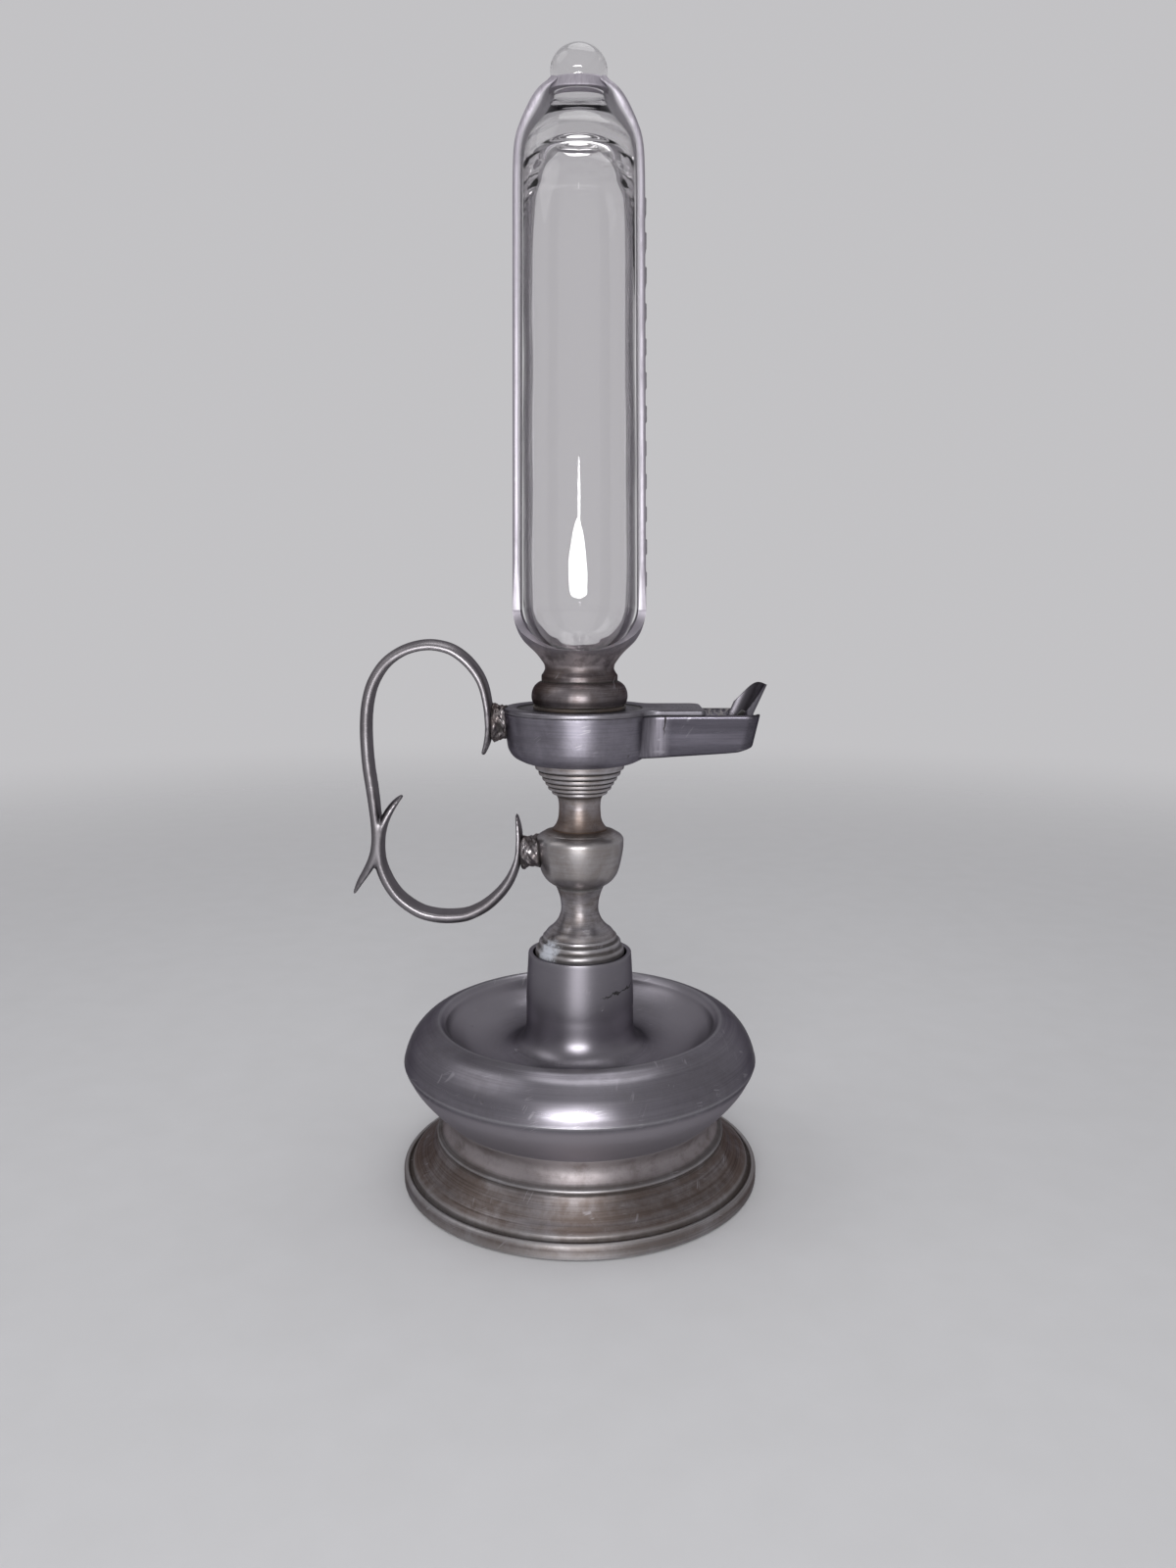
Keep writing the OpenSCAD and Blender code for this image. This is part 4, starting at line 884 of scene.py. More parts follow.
# Scroll handle: two curved bars of D section, cast together in pewter where they meet, with pointed spurs.
# Both ends are soldered to the lamp, and the cast skin is left soft at the edges.
D_SECTION = smooth([[1, -0.5], [1.02, -0.2], [1, 0.02], [0.8, 0.24], [0.45, 0.43], [0, 0.5], [-0.45, 0.43],
                    [-0.8, 0.24], [-1, 0.02], [-1.02, -0.2], [-1, -0.5]], 3)
D_SECTION = np.vstack([D_SECTION, np.stack([np.linspace(-0.9, 0.9, 9), np.full(9, -0.52)], 1)])
upper_rows = [[29.7, 137.0, 0.4, 0.55], [28.5, 140.3, 0.62, 0.75], [27.8, 144.2, 0.72, 0.9],
              [27.8, 149, 0.8, 1], [28.3, 153.5, 0.85, 1], [29.4, 158.2, 0.9, 1], [31.4, 162.2, 0.95, 1],
              [34.7, 166.1, 1, 1], [38.8, 169, 1, 1], [43.3, 170.3, 1, 1], [47.4, 170.4, 1, 1],
              [51.9, 169.4, 1, 1], [56, 167.5, 1, 1], [59.6, 164.7, 1, 1], [62.4, 161, 1, 1],
              [64.4, 156.7, 1, 1], [65.7, 151, 1, 1], [66.2, 144.5, 1, 1], [66.1, 138, 1, 1],
              [65.7, 132, 1, 1], [65, 126.5, 1, 1], [64.4, 121, 0.95, 1], [63.9, 115, 0.9, 1],
              [63.8, 110, 0.9, 1], [64.3, 106, 0.9, 1], [65.5, 102.5, 0.85, 0.95], [67.2, 99.3, 0.78, 0.85],
              [69.3, 96, 0.6, 0.72], [71.0, 92.8, 0.3, 0.55]]
lower_rows = [[55.8, 123.2, 0.35, 0.55], [57.6, 121.4, 0.6, 0.75], [59.7, 118.5, 0.75, 0.9],
              [61.5, 115, 0.8, 1], [62.7, 111, 0.85, 1], [63.2, 106.5, 0.9, 1], [62.9, 102, 0.95, 1],
              [61.6, 97.8, 1, 1], [59.6, 93.9, 1, 1], [57, 90.6, 1, 1], [53.3, 87.6, 1.02, 1],
              [49.2, 85.5, 1.05, 1], [43.4, 84.4, 1.08, 1], [37.2, 84.7, 1.05, 1], [33.2, 86, 1, 1],
              [29.1, 88.4, 1, 1], [25.4, 91.8, 0.95, 1], [22.6, 95.4, 0.9, 1], [20.6, 99.4, 0.8, 1],
              [19.2, 104, 0.72, 0.95], [18.8, 109, 0.66, 0.85], [19, 113.5, 0.55, 0.7],
              [19.6, 117.2, 0.32, 0.5]]


def swept(path, ring, deep, wide, tip=0.5):
    """Section carried along a path in the XZ plane: point (i, k) is the path point i, moved by ring[k, 1] *
    deep[i] along the path's right-hand side and by ring[k, 0] * wide[i] along Y. Both ends are closed by
    rings that shrink as a quarter circle over tip times the thickness there. Gives the points and the
    quads."""
    way = np.gradient(path, axis=0)
    way = way / np.linalg.norm(way, axis=1)[:, None]
    q = np.array([0.4, 0.7, 0.9, 0.98, 1.0])
    small = np.sqrt(np.maximum(1 - q ** 2, 0))
    head = path[0] - way[0] * (q * tip * deep[0])[:, None]
    tail = path[-1] + way[-1] * (q * tip * deep[-1])[:, None]
    line = np.vstack([head[::-1], path, tail])
    course = np.vstack([np.repeat(way[:1], 5, 0), way, np.repeat(way[-1:], 5, 0)])
    t = np.concatenate([small[::-1] * deep[0], deep, small * deep[-1]])[:, None]
    w = np.concatenate([small[::-1] * wide[0], wide, small * wide[-1]])[:, None]
    points = np.stack([line[:, :1] + course[:, 1:] * ring[:, 1] * t, ring[:, 0] * w,
                       line[:, 1:] - course[:, :1] * ring[:, 1] * t], -1)
    return points, quads(len(line), len(ring), wrap_cols=True)


bar_deep, bar_wide = 3.2, 4.5
handle_parts = []
for rows in (upper_rows, lower_rows):
    line = smooth(np.array(rows) * [-1, 1, bar_deep, bar_wide], 6)
    handle_parts.append(swept(line[:, :2], D_SECTION, line[:, 2], line[:, 3]))
(upper_points, upper_faces), (lower_points, lower_faces) = handle_parts
handle_points = np.vstack([upper_points.reshape(-1, 3), lower_points.reshape(-1, 3)])
handle = put("handle_scrolls", handle_points,
             np.vstack([upper_faces, lower_faces + upper_points.size // 3]))
fuse = handle.modifiers.new("fuse", "REMESH")
fuse.mode = "VOXEL"
fuse.voxel_size = 0.42 * MM
fuse.use_smooth_shade = True
soften = handle.modifiers.new("soften", "SMOOTH")
soften.factor = 0.5
soften.iterations = 6
handle.data.materials.append(pewter("pewter_handle", clean=(0.25, 0.236, 0.25), tarnish=(0.215, 0.20, 0.21),
                                    cover=0.25, rough=0.38, skin=0.012, marked=0.6,
                                    filed=(140.0, 140.0, 140.0)))
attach(handle, "lamp")
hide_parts("scroll_handle")

# Lugs: two lumps of solder that hold the handle to the font and to the knop, left rough and pitted.
# Dirt and flux have stayed black in their folds.
lug_pewter = pewter("pewter_solder", clean=(0.34, 0.32, 0.33), tarnish=(0.16, 0.133, 0.128), cover=0.42,
                    rough=0.30, skin=0.35, pitted=0.3, dirt=0.9)


def lump(name, x0, x1, height, radius, seed):
    """Lump along X: point (s, a) lies at x0 + s (x1 - x0), at radius * f(s) * (1 + folds), where f narrows
    in the middle and the folds are a sum of sines in s and a."""
    around = 96
    s = np.concatenate([np.zeros(1), np.linspace(0, 1, 40), np.ones(1)])[:, None]
    a = np.linspace(0, 2 * np.pi, around, endpoint=False)[None, :]
    f = np.interp(s, [0, 0.08, 0.2, 0.45, 0.7, 0.92, 1], [0.86, 0.97, 0.98, 0.88, 0.9, 0.94, 0.9])
    f[0] = 0
    f[-1] = 0
    folds = (0.070 * np.sin(2 * a + 3 * s + seed) + 0.050 * np.sin(3 * a - 7 * s + 2 * seed)
             + 0.035 * np.sin(5 * a + 11 * s + 3 * seed) + 0.020 * np.sin(9 * a - 16 * s + seed)
             + 0.012 * np.sin(15 * a + 24 * s) - 0.11)
    r = radius * f * (1 + folds)
    x = x0 + s * (x1 - x0) + 0.45 * np.sin(3 * a + seed) * np.sin(np.pi * s)
    points = np.stack([x, r * np.sin(a), height + r * np.cos(a)], -1)
    seams = 0.25 * np.exp(-((s - 0.5) / 0.2) ** 2) + np.exp(-((s - 0.97) / 0.08) ** 2)
    depth = np.clip(-folds * 5 - 0.6, 0, 1) + seams
    return put(name, points, quads(len(s), around, wrap_cols=True), grime=np.clip(depth, 0, 1))


for name, end_x, seed in (("upper_lug", -font_r + 1.1, 0.7), ("lower_lug", -knop_r + 1.4, 2.9)):
    low, high = np.array(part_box(name)) / MM
    boss = lump(name + "_solder", low[0] + 0.2, end_x, (low[2] + high[2]) / 2, (high[2] - low[2]) / 2, seed)
    boss.data.materials.append(lug_pewter)
    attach(boss, "lamp")
    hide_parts(name)

# Wick rest: half-round gutter of thin pewter that lies loose in the trough and leans out over its end.
# Its side walls are cut down to a rounded tip, the front one lower, and its inside is coloured dark.
gutter_r, gutter_t, bow, lean = 6.2, 0.8, 3.0, math.radians(66)
rest_z = trough_z + 0.05
bow_z = rest_z + gutter_r + bow
lean_x = spout_end - 0.9
bow_x = (lean_x - (cover_z - bow_z + (gutter_r + bow) * math.cos(lean)) / math.tan(lean)
         - (gutter_r + bow) * math.sin(lean))
tip_z = cover_z + 8.8
rest_len = 9.5


def gutter_line(s):
    """Gutter axis at the distance s from its inner end: straight along the trough, round a bow of radius
    bow, then up the lean. Gives x, z and the heading angle."""
    turn = np.clip((s - rest_len) / bow, 0, lean)
    back = np.minimum(s, rest_len)
    on = np.maximum(s - rest_len - bow * lean, 0)
    x = bow_x - rest_len + back + bow * np.sin(turn) + on * np.cos(lean)
    z = bow_z - bow * np.cos(turn) + on * np.sin(lean)
    return x, z, turn


arc_cols = 37
gutter_cols = 2 * arc_cols
half_round = np.radians(np.linspace(0, 180, arc_cols))
ring_turn = np.concatenate([half_round, half_round[::-1]])
ring_r = np.concatenate([np.full(arc_cols, gutter_r), np.full(arc_cols, gutter_r - gutter_t)])
ring_r[[0, arc_cols - 1]] -= 0.2
ring_r[[arc_cols, gutter_cols - 1]] += 0.2
drop = ring_r * np.sin(ring_turn)
bent = rest_len + bow * lean
probe = np.linspace(bent, bent + 18, 400)[:, None]
px, pz, pt = gutter_line(probe)
gx, gz = px + np.sin(pt) * drop, pz - np.cos(pt) * drop
back_cut = smooth(steps_from([lean_x, tip_z], [
    [-6.6, -8.2], [-2.6, -2.9], [-0.7, -0.6], [1, 0.15], [2.6, 0], [5, -1.2]]), 6)
front_cut = smooth(steps_from([lean_x, tip_z], [
    [-8.3, -12.6], [-5.8, -11.1], [-3.3, -8.7], [-0.8, -5.7], [0.3, -2.8], [2.3, -0.6], [3.2, -0.15],
    [5, -1.2]]), 6)
cut_z = np.where(np.cos(ring_turn) > 0, np.interp(gx, *back_cut.T), np.interp(gx, *front_cut.T))
length = probe[np.argmax(gz > cut_z, axis=0), 0]
blur = np.exp(-0.5 * (np.arange(-6, 7) / 2.2) ** 2)
blur = blur / blur.sum()
length = np.concatenate([np.convolve(np.pad(part, 6, mode="edge"), blur, "valid")
                         for part in (length[:arc_cols], length[arc_cols:])])
s = np.concatenate([np.linspace(0, rest_len, 8)[:-1], np.linspace(rest_len, bent, 16)[:-1],
                    np.linspace(bent, length.max(), 60)])[:, None]
s = np.minimum(s, length)
px, pz, pt = gutter_line(s)
rest_points = np.stack([px + np.sin(pt) * drop, np.broadcast_to(ring_r * np.cos(ring_turn), px.shape),
                        pz - np.cos(pt) * drop], -1)
rest_faces = quads(len(s), gutter_cols, wrap_cols=True)
k = np.arange(arc_cols - 1)
start_cap = np.stack([k, k + 1, gutter_cols - 2 - k, gutter_cols - 1 - k], 1)
end_cap = start_cap[:, ::-1] + (len(s) - 1) * gutter_cols
rest = put("wick_rest_gutter", rest_points, np.vstack([rest_faces, start_cap, end_cap]),
           inside=np.broadcast_to(np.where(ring_r < gutter_r - 0.4, 1.0, 0.0), px.shape))
gutter_pewter = pewter("pewter_gutter", clean=(0.31, 0.297, 0.33), tarnish=(0.24, 0.228, 0.255), cover=0.2,
                       rough=0.27, skin=0.012, dirt=0.6, marked=0.5, filed=(400.0, 1500.0, 400.0))
inside = point_layer(gutter_pewter.node_tree, "inside")
stain(gutter_pewter, times(gutter_pewter.node_tree, inside, 0.95), (0.075, 0.07, 0.08), rough=0.36)
rest.data.materials.append(gutter_pewter)
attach(rest, "wick_carrier")
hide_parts("wick_rest")

# Wick: soft cotton cord of three twisted yarns that lies in the gutter and draws up the oil.
# Its upper end is charred, and the rest is soaked to a dull brown.
wick_r, strands, wick_tail, wick_tip = 1.8, 3, 6.0, 4.2
wick_s = np.linspace(-wick_tail, bent + wick_tip, 150)[:, None]
px, pz, pt = gutter_line(np.maximum(wick_s, 0))
px = px + np.minimum(wick_s, 0)
a = np.linspace(0, 2 * np.pi, 60, endpoint=False)[None, :]
twist = 2 * np.pi * wick_s / 7.0
yarn = np.abs(np.cos(strands * (a + twist) / 2)) ** 0.6
fibre = 0.05 * np.sin(11 * a - 2.4 * wick_s) * np.sin(17 * a + 3.1 * wick_s)
fray = np.clip((wick_s - (bent + 2.2)) / 2.0, 0, 1)
r = wick_r * (0.80 + 0.18 * yarn + 0.3 * fibre) * (1 - 0.35 * fray ** 2)
r[[0, -1]] = 0
deep = gutter_r - gutter_t - wick_r
dz = deep + r * np.sin(a)
wick_points = np.stack([px + np.sin(pt) * dz, r * np.cos(a), pz - np.cos(pt) * dz], -1)
wick = put("wick_cotton", wick_points, quads(len(wick_s), a.size, wrap_cols=True), furrow=1 - yarn,
           char=np.broadcast_to(np.clip((wick_s - (bent - 1.0)) / 4.0, 0, 1), yarn.shape))
cotton, tree, bsdf = blank("wick_cotton")
spot = here(tree)
fuzz = cloud(tree, spot, 2600.0, 4.0, 0.7)
soak = cloud(tree, spot, 220.0, 4.0)
furrow = point_layer(tree, "furrow")
char = point_layer(tree, "char")
cloth = mixed(tree, ramp(tree, soak, 0.35, 0.65), (0.34, 0.28, 0.20), (0.20, 0.15, 0.10))
cloth = mixed(tree, times(tree, furrow, 0.8), cloth, (0.06, 0.045, 0.03))
burnt = ramp(tree, plus(tree, char, times(tree, soak, 0.5)), 0.55, 0.95)
tree.links.new(mixed(tree, burnt, cloth, (0.012, 0.011, 0.010)), bsdf.inputs["Base Color"])
tree.links.new(ramp(tree, fuzz, 0.2, 0.8, 0.75, 0.95), bsdf.inputs["Roughness"])
bsdf.inputs["Sheen Weight"].default_value = 0.3
tuft = node(tree, "Bump", {"Height": fuzz, "Distance": 0.15 * MM, "Strength": 1.0})
tree.links.new(tuft.outputs[0], bsdf.inputs["Normal"])
wick.data.materials.append(cotton)
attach(wick, "wick_carrier")
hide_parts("wick")

# Seat washer: flat ring cut from oiled leather that lies in the seat of the cover under the collar.
# Its edge is pressed soft and a little uneven.
washer_low, washer_high = np.array(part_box("seat_washer")) / MM
washer_r, w0, w1 = washer_high[0], washer_low[2], washer_high[2]
washer_profile = eased([[hole_r + 1.5, w0], [washer_r, w0], [washer_r, w1], [hole_r, w1], [hole_r, w0],
                        [hole_r + 1.5, w0]], 0.42)
washer = turned("washer_leather", washer_profile, around=144, wobble=0.10, turn=0.9)
hide, tree, bsdf = blank("oiled_leather")
spot = here(tree)
grain = node(tree, "TexVoronoi", {"Vector": spot, "Scale": 1500.0},
             feature="DISTANCE_TO_EDGE").outputs["Distance"]
oil = cloud(tree, spot, 150.0, 5.0)
tree.links.new(mixed(tree, ramp(tree, oil, 0.3, 0.7), (0.030, 0.022, 0.018), (0.065, 0.047, 0.036)),
               bsdf.inputs["Base Color"])
tree.links.new(ramp(tree, oil, 0.3, 0.7, 0.42, 0.62), bsdf.inputs["Roughness"])
crease_bump = node(tree, "Bump", {"Height": ramp(tree, grain, 0.0, 0.12), "Distance": 0.05 * MM,
                                  "Strength": 0.8})
tree.links.new(crease_bump.outputs[0], bsdf.inputs["Normal"])
washer.data.materials.append(hide)
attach(washer, "washer")
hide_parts("seat_washer")

# Reservoir collar: turned pewter with a spigot for the font, a bead, a ring and a cup that flares to the
# straps. The rim of the cup sags between the two strap roots, which turn flat as they rise.
collar_low, collar_high = np.array(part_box("reservoir_collar")) / MM
collar_z, bead_r, waist_r, cage_r, root_z = w1 + 0.05, 14.9, 10.6, collar_high[0], collar_high[2]
rim_dip, strap_y, strap_t, spigot_r, bore_r, throat_r = collar_z + 17.4, 6.5, 2.3, 9.0, 6.5, 8.9
waist_z, lip_z = collar_z + 11.31, collar_z + 5.5
flare_out = smooth(span([waist_r, waist_z], [cage_r, root_z], [
    [0, 0], [0.02, 0.06], [0.085, 0.115], [0.20, 0.2], [0.34, 0.285], [0.51, 0.37], [0.67, 0.455],
    [0.78, 0.54], [0.865, 0.625], [0.92, 0.71], [0.96, 0.79], [0.985, 0.89], [1, 1]]), 4)
flare_in = smooth(span([throat_r, waist_z + 0.5], [cage_r - strap_t, root_z], [
    [0, 0], [0.08, 0.12], [0.26, 0.25], [0.49, 0.38], [0.68, 0.49], [0.82, 0.61], [0.91, 0.74],
    [0.97, 0.87], [1, 1]]), 4)
collar_foot = np.vstack([
    eased([[bore_r + 1.2, collar_low[2]], [spigot_r, collar_low[2]], [spigot_r, collar_z],
           [bead_r - 1.0, collar_z], [bead_r - 0.9, collar_z + 0.6]], 0.3),
    smooth(span([bead_r - 0.6, collar_z + 0.6], [waist_r + 1.1, collar_z + 7.31], [
        [0, 0], [-0.18, 0.22], [-0.14, 0.5], [0.15, 0.77], [0.62, 0.94], [0.96, 1]]), 7),
    eased([[waist_r + 0.95, collar_z + 7.31], [waist_r + 1.1, collar_z + 7.57],
           [waist_r + 1.1, collar_z + 9.2], [waist_r + 0.5, collar_z + 9.9], [waist_r, waist_z - 0.3]],
          0.4)])
collar_bore = eased([[throat_r, waist_z], [throat_r, lip_z], [bore_r, lip_z], [bore_r, collar_low[2]],
                     [bore_r + 1.2, collar_low[2]]], 0.3)
rim_front = 0.75 * cage_r
way = np.sin(np.linspace(0, math.pi / 2, 30))
sag_y = rim_front - way * (rim_front - strap_y)
sag_z = rim_dip + (1 - (1 - way ** 1.6).clip(0) ** 0.625) * (root_z - rim_dip)
sag_r = np.interp(sag_z, flare_out[:, 1], flare_out[:, 0])
sag_turn = np.arcsin(np.clip(sag_y / sag_r, -1, 1))
on_side = sag_turn < math.pi / 2 - 0.02
front_turn = np.linspace(math.pi / 2, sag_turn[on_side].max(), 12)[:-1]
edge_turn = math.asin(strap_y / cage_r)
strap_turn = np.linspace(edge_turn, 0, 9)[1:]
side_turn = np.concatenate([front_turn, sag_turn[on_side], strap_turn])
side_top = np.concatenate([np.full(len(front_turn), rim_dip), sag_z[on_side],
                           np.full(len(strap_turn), root_z)])
quarter_turn, quarter_top = side_turn[::-1], side_top[::-1]
half_turn = np.concatenate([quarter_turn, math.pi - quarter_turn[::-1][1:]])
half_top = np.concatenate([quarter_top, quarter_top[::-1][1:]])
collar_turn = np.concatenate([half_turn, half_turn[1:-1] + math.pi])[None, :]
collar_top = np.concatenate([half_top, half_top[1:-1]])[None, :]
up = np.concatenate([np.linspace(0, 0.85, 26), [0.9, 0.95, 0.98, 0.992]])[:, None]
outer_z = waist_z + up * (collar_top - waist_z)
outer_r = np.interp(outer_z, flare_out[:, 1], flare_out[:, 0])
inner_z = (waist_z + 0.5) + up[::-1] * (collar_top - waist_z - 0.5)
inner_r = np.interp(inner_z, flare_in[:, 1], flare_in[:, 0])
top_out = np.interp(collar_top, flare_out[:, 1], flare_out[:, 0])
top_in = np.interp(collar_top, flare_in[:, 1], flare_in[:, 0])
soft = np.where(collar_top > root_z - 0.01, 0.0, 1.0)
crest_r = np.concatenate([top_out - 0.12 * soft, top_out - 0.4 * soft, top_in + 0.4 * soft,
                          top_in + 0.12 * soft])
crest_z = np.concatenate([collar_top - 0.1 * soft, collar_top, collar_top, collar_top - 0.1 * soft])
ones = np.ones_like(collar_turn)
all_r = np.concatenate([collar_foot[:, :1] * ones, outer_r, crest_r, inner_r, collar_bore[:, :1] * ones])
all_z = np.concatenate([collar_foot[:, 1:] * ones, outer_z, crest_z, inner_z, collar_bore[:, 1:] * ones])
flatness = gentle((all_z - rim_dip - 1.5) / (root_z - rim_dip - 1.5)) * (all_r > spigot_r)
round_x_all = all_r * np.cos(collar_turn)
flat_x = all_r * np.sign(np.cos(collar_turn))
collar_x = round_x_all + flatness * np.where(np.abs(np.cos(collar_turn)) > 0.6, flat_x - round_x_all, 0)
collar_points = np.stack([collar_x, all_r * np.sin(collar_turn), all_z], -1)
seat_dirt = np.exp(-((collar_foot[:, 1] - collar_z) / 0.5) ** 2)
foot_dirt = np.clip(2.6 * hollows(collar_foot), 0, 1) + 0.8 * seat_dirt
collar_grime = np.zeros_like(all_r)
collar_grime[:len(collar_foot)] = np.clip(foot_dirt, 0, 1)[:, None]
crest_row = len(collar_foot) + len(up)
collar_grime[crest_row + 4:] = 0.1
collar_wear = np.zeros_like(all_r)
collar_wear[crest_row:crest_row + 4] = 0.5 * soft
collar = put("collar_turned", collar_points, quads(len(all_r), collar_turn.size, wrap_cols=True),
             grime=collar_grime, wear=collar_wear)
collar_pewter = pewter("pewter_collar", clean=(0.23, 0.207, 0.216), tarnish=(0.115, 0.092, 0.087),
                       cover=0.50, rough=0.40, lines=0.002, skin=0.03, pitted=0.14, brushed=0.5)
tree = collar_pewter.node_tree
spot = here(tree)
height = split(tree, spot)["Z"]
patches = cloud(tree, spot, 240.0, 5.0, 0.65)
cool = ramp(tree, plus(tree, height, times(tree, patches, 0.006)), (waist_z + 5.69) * MM,
            (waist_z + 14.19) * MM)
cup_part = times(tree, ramp(tree, height, (waist_z - 0.81) * MM, (waist_z + 2.19) * MM),
                 ramp(tree, patches, 0.38, 0.6, 0.85, 0.25))
stain(collar_pewter, cup_part, (0.60, 0.537, 0.548), rough=0.40)
stain(collar_pewter, cool, (0.43, 0.404, 0.45), rough=0.55)
collar.data.materials.append(collar_pewter)
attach(collar, "reservoir")
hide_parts("reservoir_collar")

# Neck putty: grey bedding pressed between the glass and the collar, so that the oil can't leak past the neck.
# Its top is smoothed off just below the rim and has darkened with oil.
glass_low_r, mouth_r, wall = 17.1, 8.0, 2.0
glass_foot = smooth(span([mouth_r, waist_z + 1.2], [glass_low_r, root_z + 3], [
    [0, 0], [0.07, 0.115], [0.24, 0.225], [0.46, 0.33], [0.66, 0.435], [0.82, 0.565], [0.93, 0.715],
    [0.985, 0.865], [1, 1]]), 6)
putty_high = np.array(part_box("neck_putty"))[1] / MM
putty_z = putty_high[2]
putty_out = flare_in[flare_in[:, 1] < putty_z] - [0.03, 0]
putty_in = glass_foot[glass_foot[:, 1] < putty_z][::-1] + [0.03, 0]
putty_mid = (putty_out[-1] + putty_in[0]) / 2 + [0, 0.12]
putty_profile = np.vstack([[[mouth_r + 0.03, lip_z + 0.1], [throat_r - 0.03, lip_z + 0.1]], putty_out,
                           putty_mid[None], putty_in, [[mouth_r + 0.03, lip_z + 0.1]]])
putty = turned("putty_bed", putty_profile, around=120)
bedding, tree, bsdf = blank("bedding_putty")
spot = here(tree)
lumps = cloud(tree, spot, 420.0, 6.0, 0.65)
tree.links.new(mixed(tree, ramp(tree, lumps, 0.3, 0.7), (0.30, 0.29, 0.30), (0.42, 0.41, 0.42)),
               bsdf.inputs["Base Color"])
tree.links.new(ramp(tree, lumps, 0.3, 0.7, 0.5, 0.8), bsdf.inputs["Roughness"])
knead = node(tree, "Bump", {"Height": lumps, "Distance": 0.3 * MM, "Strength": 0.8})
tree.links.new(knead.outputs[0], bsdf.inputs["Normal"])
putty.data.materials.append(bedding)
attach(putty, "reservoir")
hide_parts("neck_putty")

# Glass vessel: hand-blown clear reservoir with thick, slightly wavy walls, a narrow neck, a cone-shaped
# shoulder and a solid knob. It stands neck down in the collar, and oil has left a brown bloom at the top.
vessel_high = np.array(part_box("glass_vessel"))[1] / MM
crown_low, crown_high = np.array(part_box("crown_ring")) / MM
top_r, crown_z, shoulder_z = 16.05, crown_low[2], crown_low[2] - 13.8
straight_top = shoulder_z - 12
knob_r, knob_rise, knob_z = 8.2, 7.1, vessel_high[2] - 8.2
glass_high = smooth(np.vstack([
    steps_from([top_r, shoulder_z], [[0, -12], [-0.05, -6], [-0.25, -1.5], [-1.15, 2.6], [-2.85, 5.2],
                                     [-4.85, 7.5], [-6.75, 9.9]]),
    [[knob_r - 0.3, shoulder_z + 12.3], [knob_r - 1.1, crown_z + 0.8], [knob_r - 1.0, crown_z + 2.8]]]), 8)
ball = np.radians(np.linspace(-22.5, 90, 40))
hollow_r, hollow_z = top_r - wall, shoulder_z + 2.0
glass_cavity = smooth(steps_from([hollow_r, hollow_z], [
    [-hollow_r, 0], [-9.35, -0.4], [-6.05, -1.5], [-3.45, -3.6], [-2.05, -7.4], [-1.05, -12], [-0.35, -17],
    [0.1, -29]]), 9)
body_z = np.linspace(straight_top, root_z + 3, 60)[1:-1]
body_share = (body_z - root_z - 3) / (straight_top - root_z - 3)
waves = 0.10 * np.sin(body_z / 7.0) * np.sin(np.pi * body_share)
body_r = glass_low_r + (top_r - glass_low_r) * body_share + waves
cavity_r = np.maximum(glass_foot[:, 0] - wall, mouth_r - wall)
cavity_foot = np.stack([cavity_r, glass_foot[:, 1] + 0.9], 1)[::-1]
glass_profile = np.vstack([
    eased([[mouth_r - wall, lip_z], [mouth_r, lip_z], [mouth_r, lip_z + 1.5]], 0.5), glass_foot,
    np.stack([body_r, body_z], 1)[::-1], glass_high,
    np.stack([knob_r * np.cos(ball), knob_z + knob_rise * np.sin(ball)], 1), glass_cavity,
    np.stack([body_r - wall, body_z], 1)[body_z < hollow_z - 30], cavity_foot[1:],
    [[mouth_r - wall, lip_z]]])
vessel = turned("glass_blown", glass_profile, around=160, wobble=0.05, turn=0.6)
clear_glass, tree, bsdf = blank("clear_glass")
bsdf.inputs["Transmission Weight"].default_value = 1.0
bsdf.inputs["Roughness"].default_value = 0.015
bsdf.inputs["IOR"].default_value = 1.5
bloom_place = (6.0, -6.0, 309.5)
spot = here(tree)
apart = distance(tree, spot, bloom_place)
motes = cloud(tree, spot, 900.0, 5.0, 0.7)
bloom = times(tree, ramp(tree, apart, 0.011, 0.003), ramp(tree, motes, 0.52, 0.66))
tree.links.new(mixed(tree, bloom, (0.93, 0.922, 0.93), (0.42, 0.34, 0.27)), bsdf.inputs["Base Color"])
drawn_up = node(tree, "Mapping", {"Vector": spot, "Scale": (70.0, 70.0, 18.0)}).outputs[0]
wave = cloud(tree, drawn_up, 1.0, 2.0)
ripple = node(tree, "Bump", {"Height": wave, "Distance": 0.25 * MM, "Strength": 1.0})
tree.links.new(ripple.outputs[0], bsdf.inputs["Normal"])
tint = node(tree, "VolumeAbsorption", {"Color": (0.80, 0.79, 0.80, 1), "Density": 40.0})
tree.links.new(tint.outputs[0], tree.nodes["Material Output"].inputs["Volume"])
vessel.data.materials.append(clear_glass)
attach(vessel, "reservoir")
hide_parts("glass_vessel")

# Straps: two flat pewter bars, filed by hand, that rise from the collar beside the glass and lean in above.
# They are cast on the collar and soldered to the crown ring; their faces towards the glass are painted paler,
# as painted light.
shoulder_r, crown_r, crown_top, eye = 18.7, crown_high[0], crown_high[2], 2.8
straight_z = np.linspace(root_z, straight_top, 60)
straight_r = np.interp(straight_z, [root_z, straight_top], [cage_r, shoulder_r + 0.1])
outer_line = np.vstack([
    np.stack([straight_r, straight_z], 1)[:-1],
    smooth(np.vstack([
        steps_from([shoulder_r, shoulder_z], [[0.1, -12], [-0.05, -6], [-0.35, -1], [-1.05, 2.8],
                                              [-2.35, 6.2], [-4.0, 9.3], [-5.8, 12.2]]),
        [[crown_r + 1.1, crown_z + 1.0], [crown_r + 0.1, crown_top - 0.9],
         [crown_r - 0.85, crown_top - 0.03]]]), 8)])
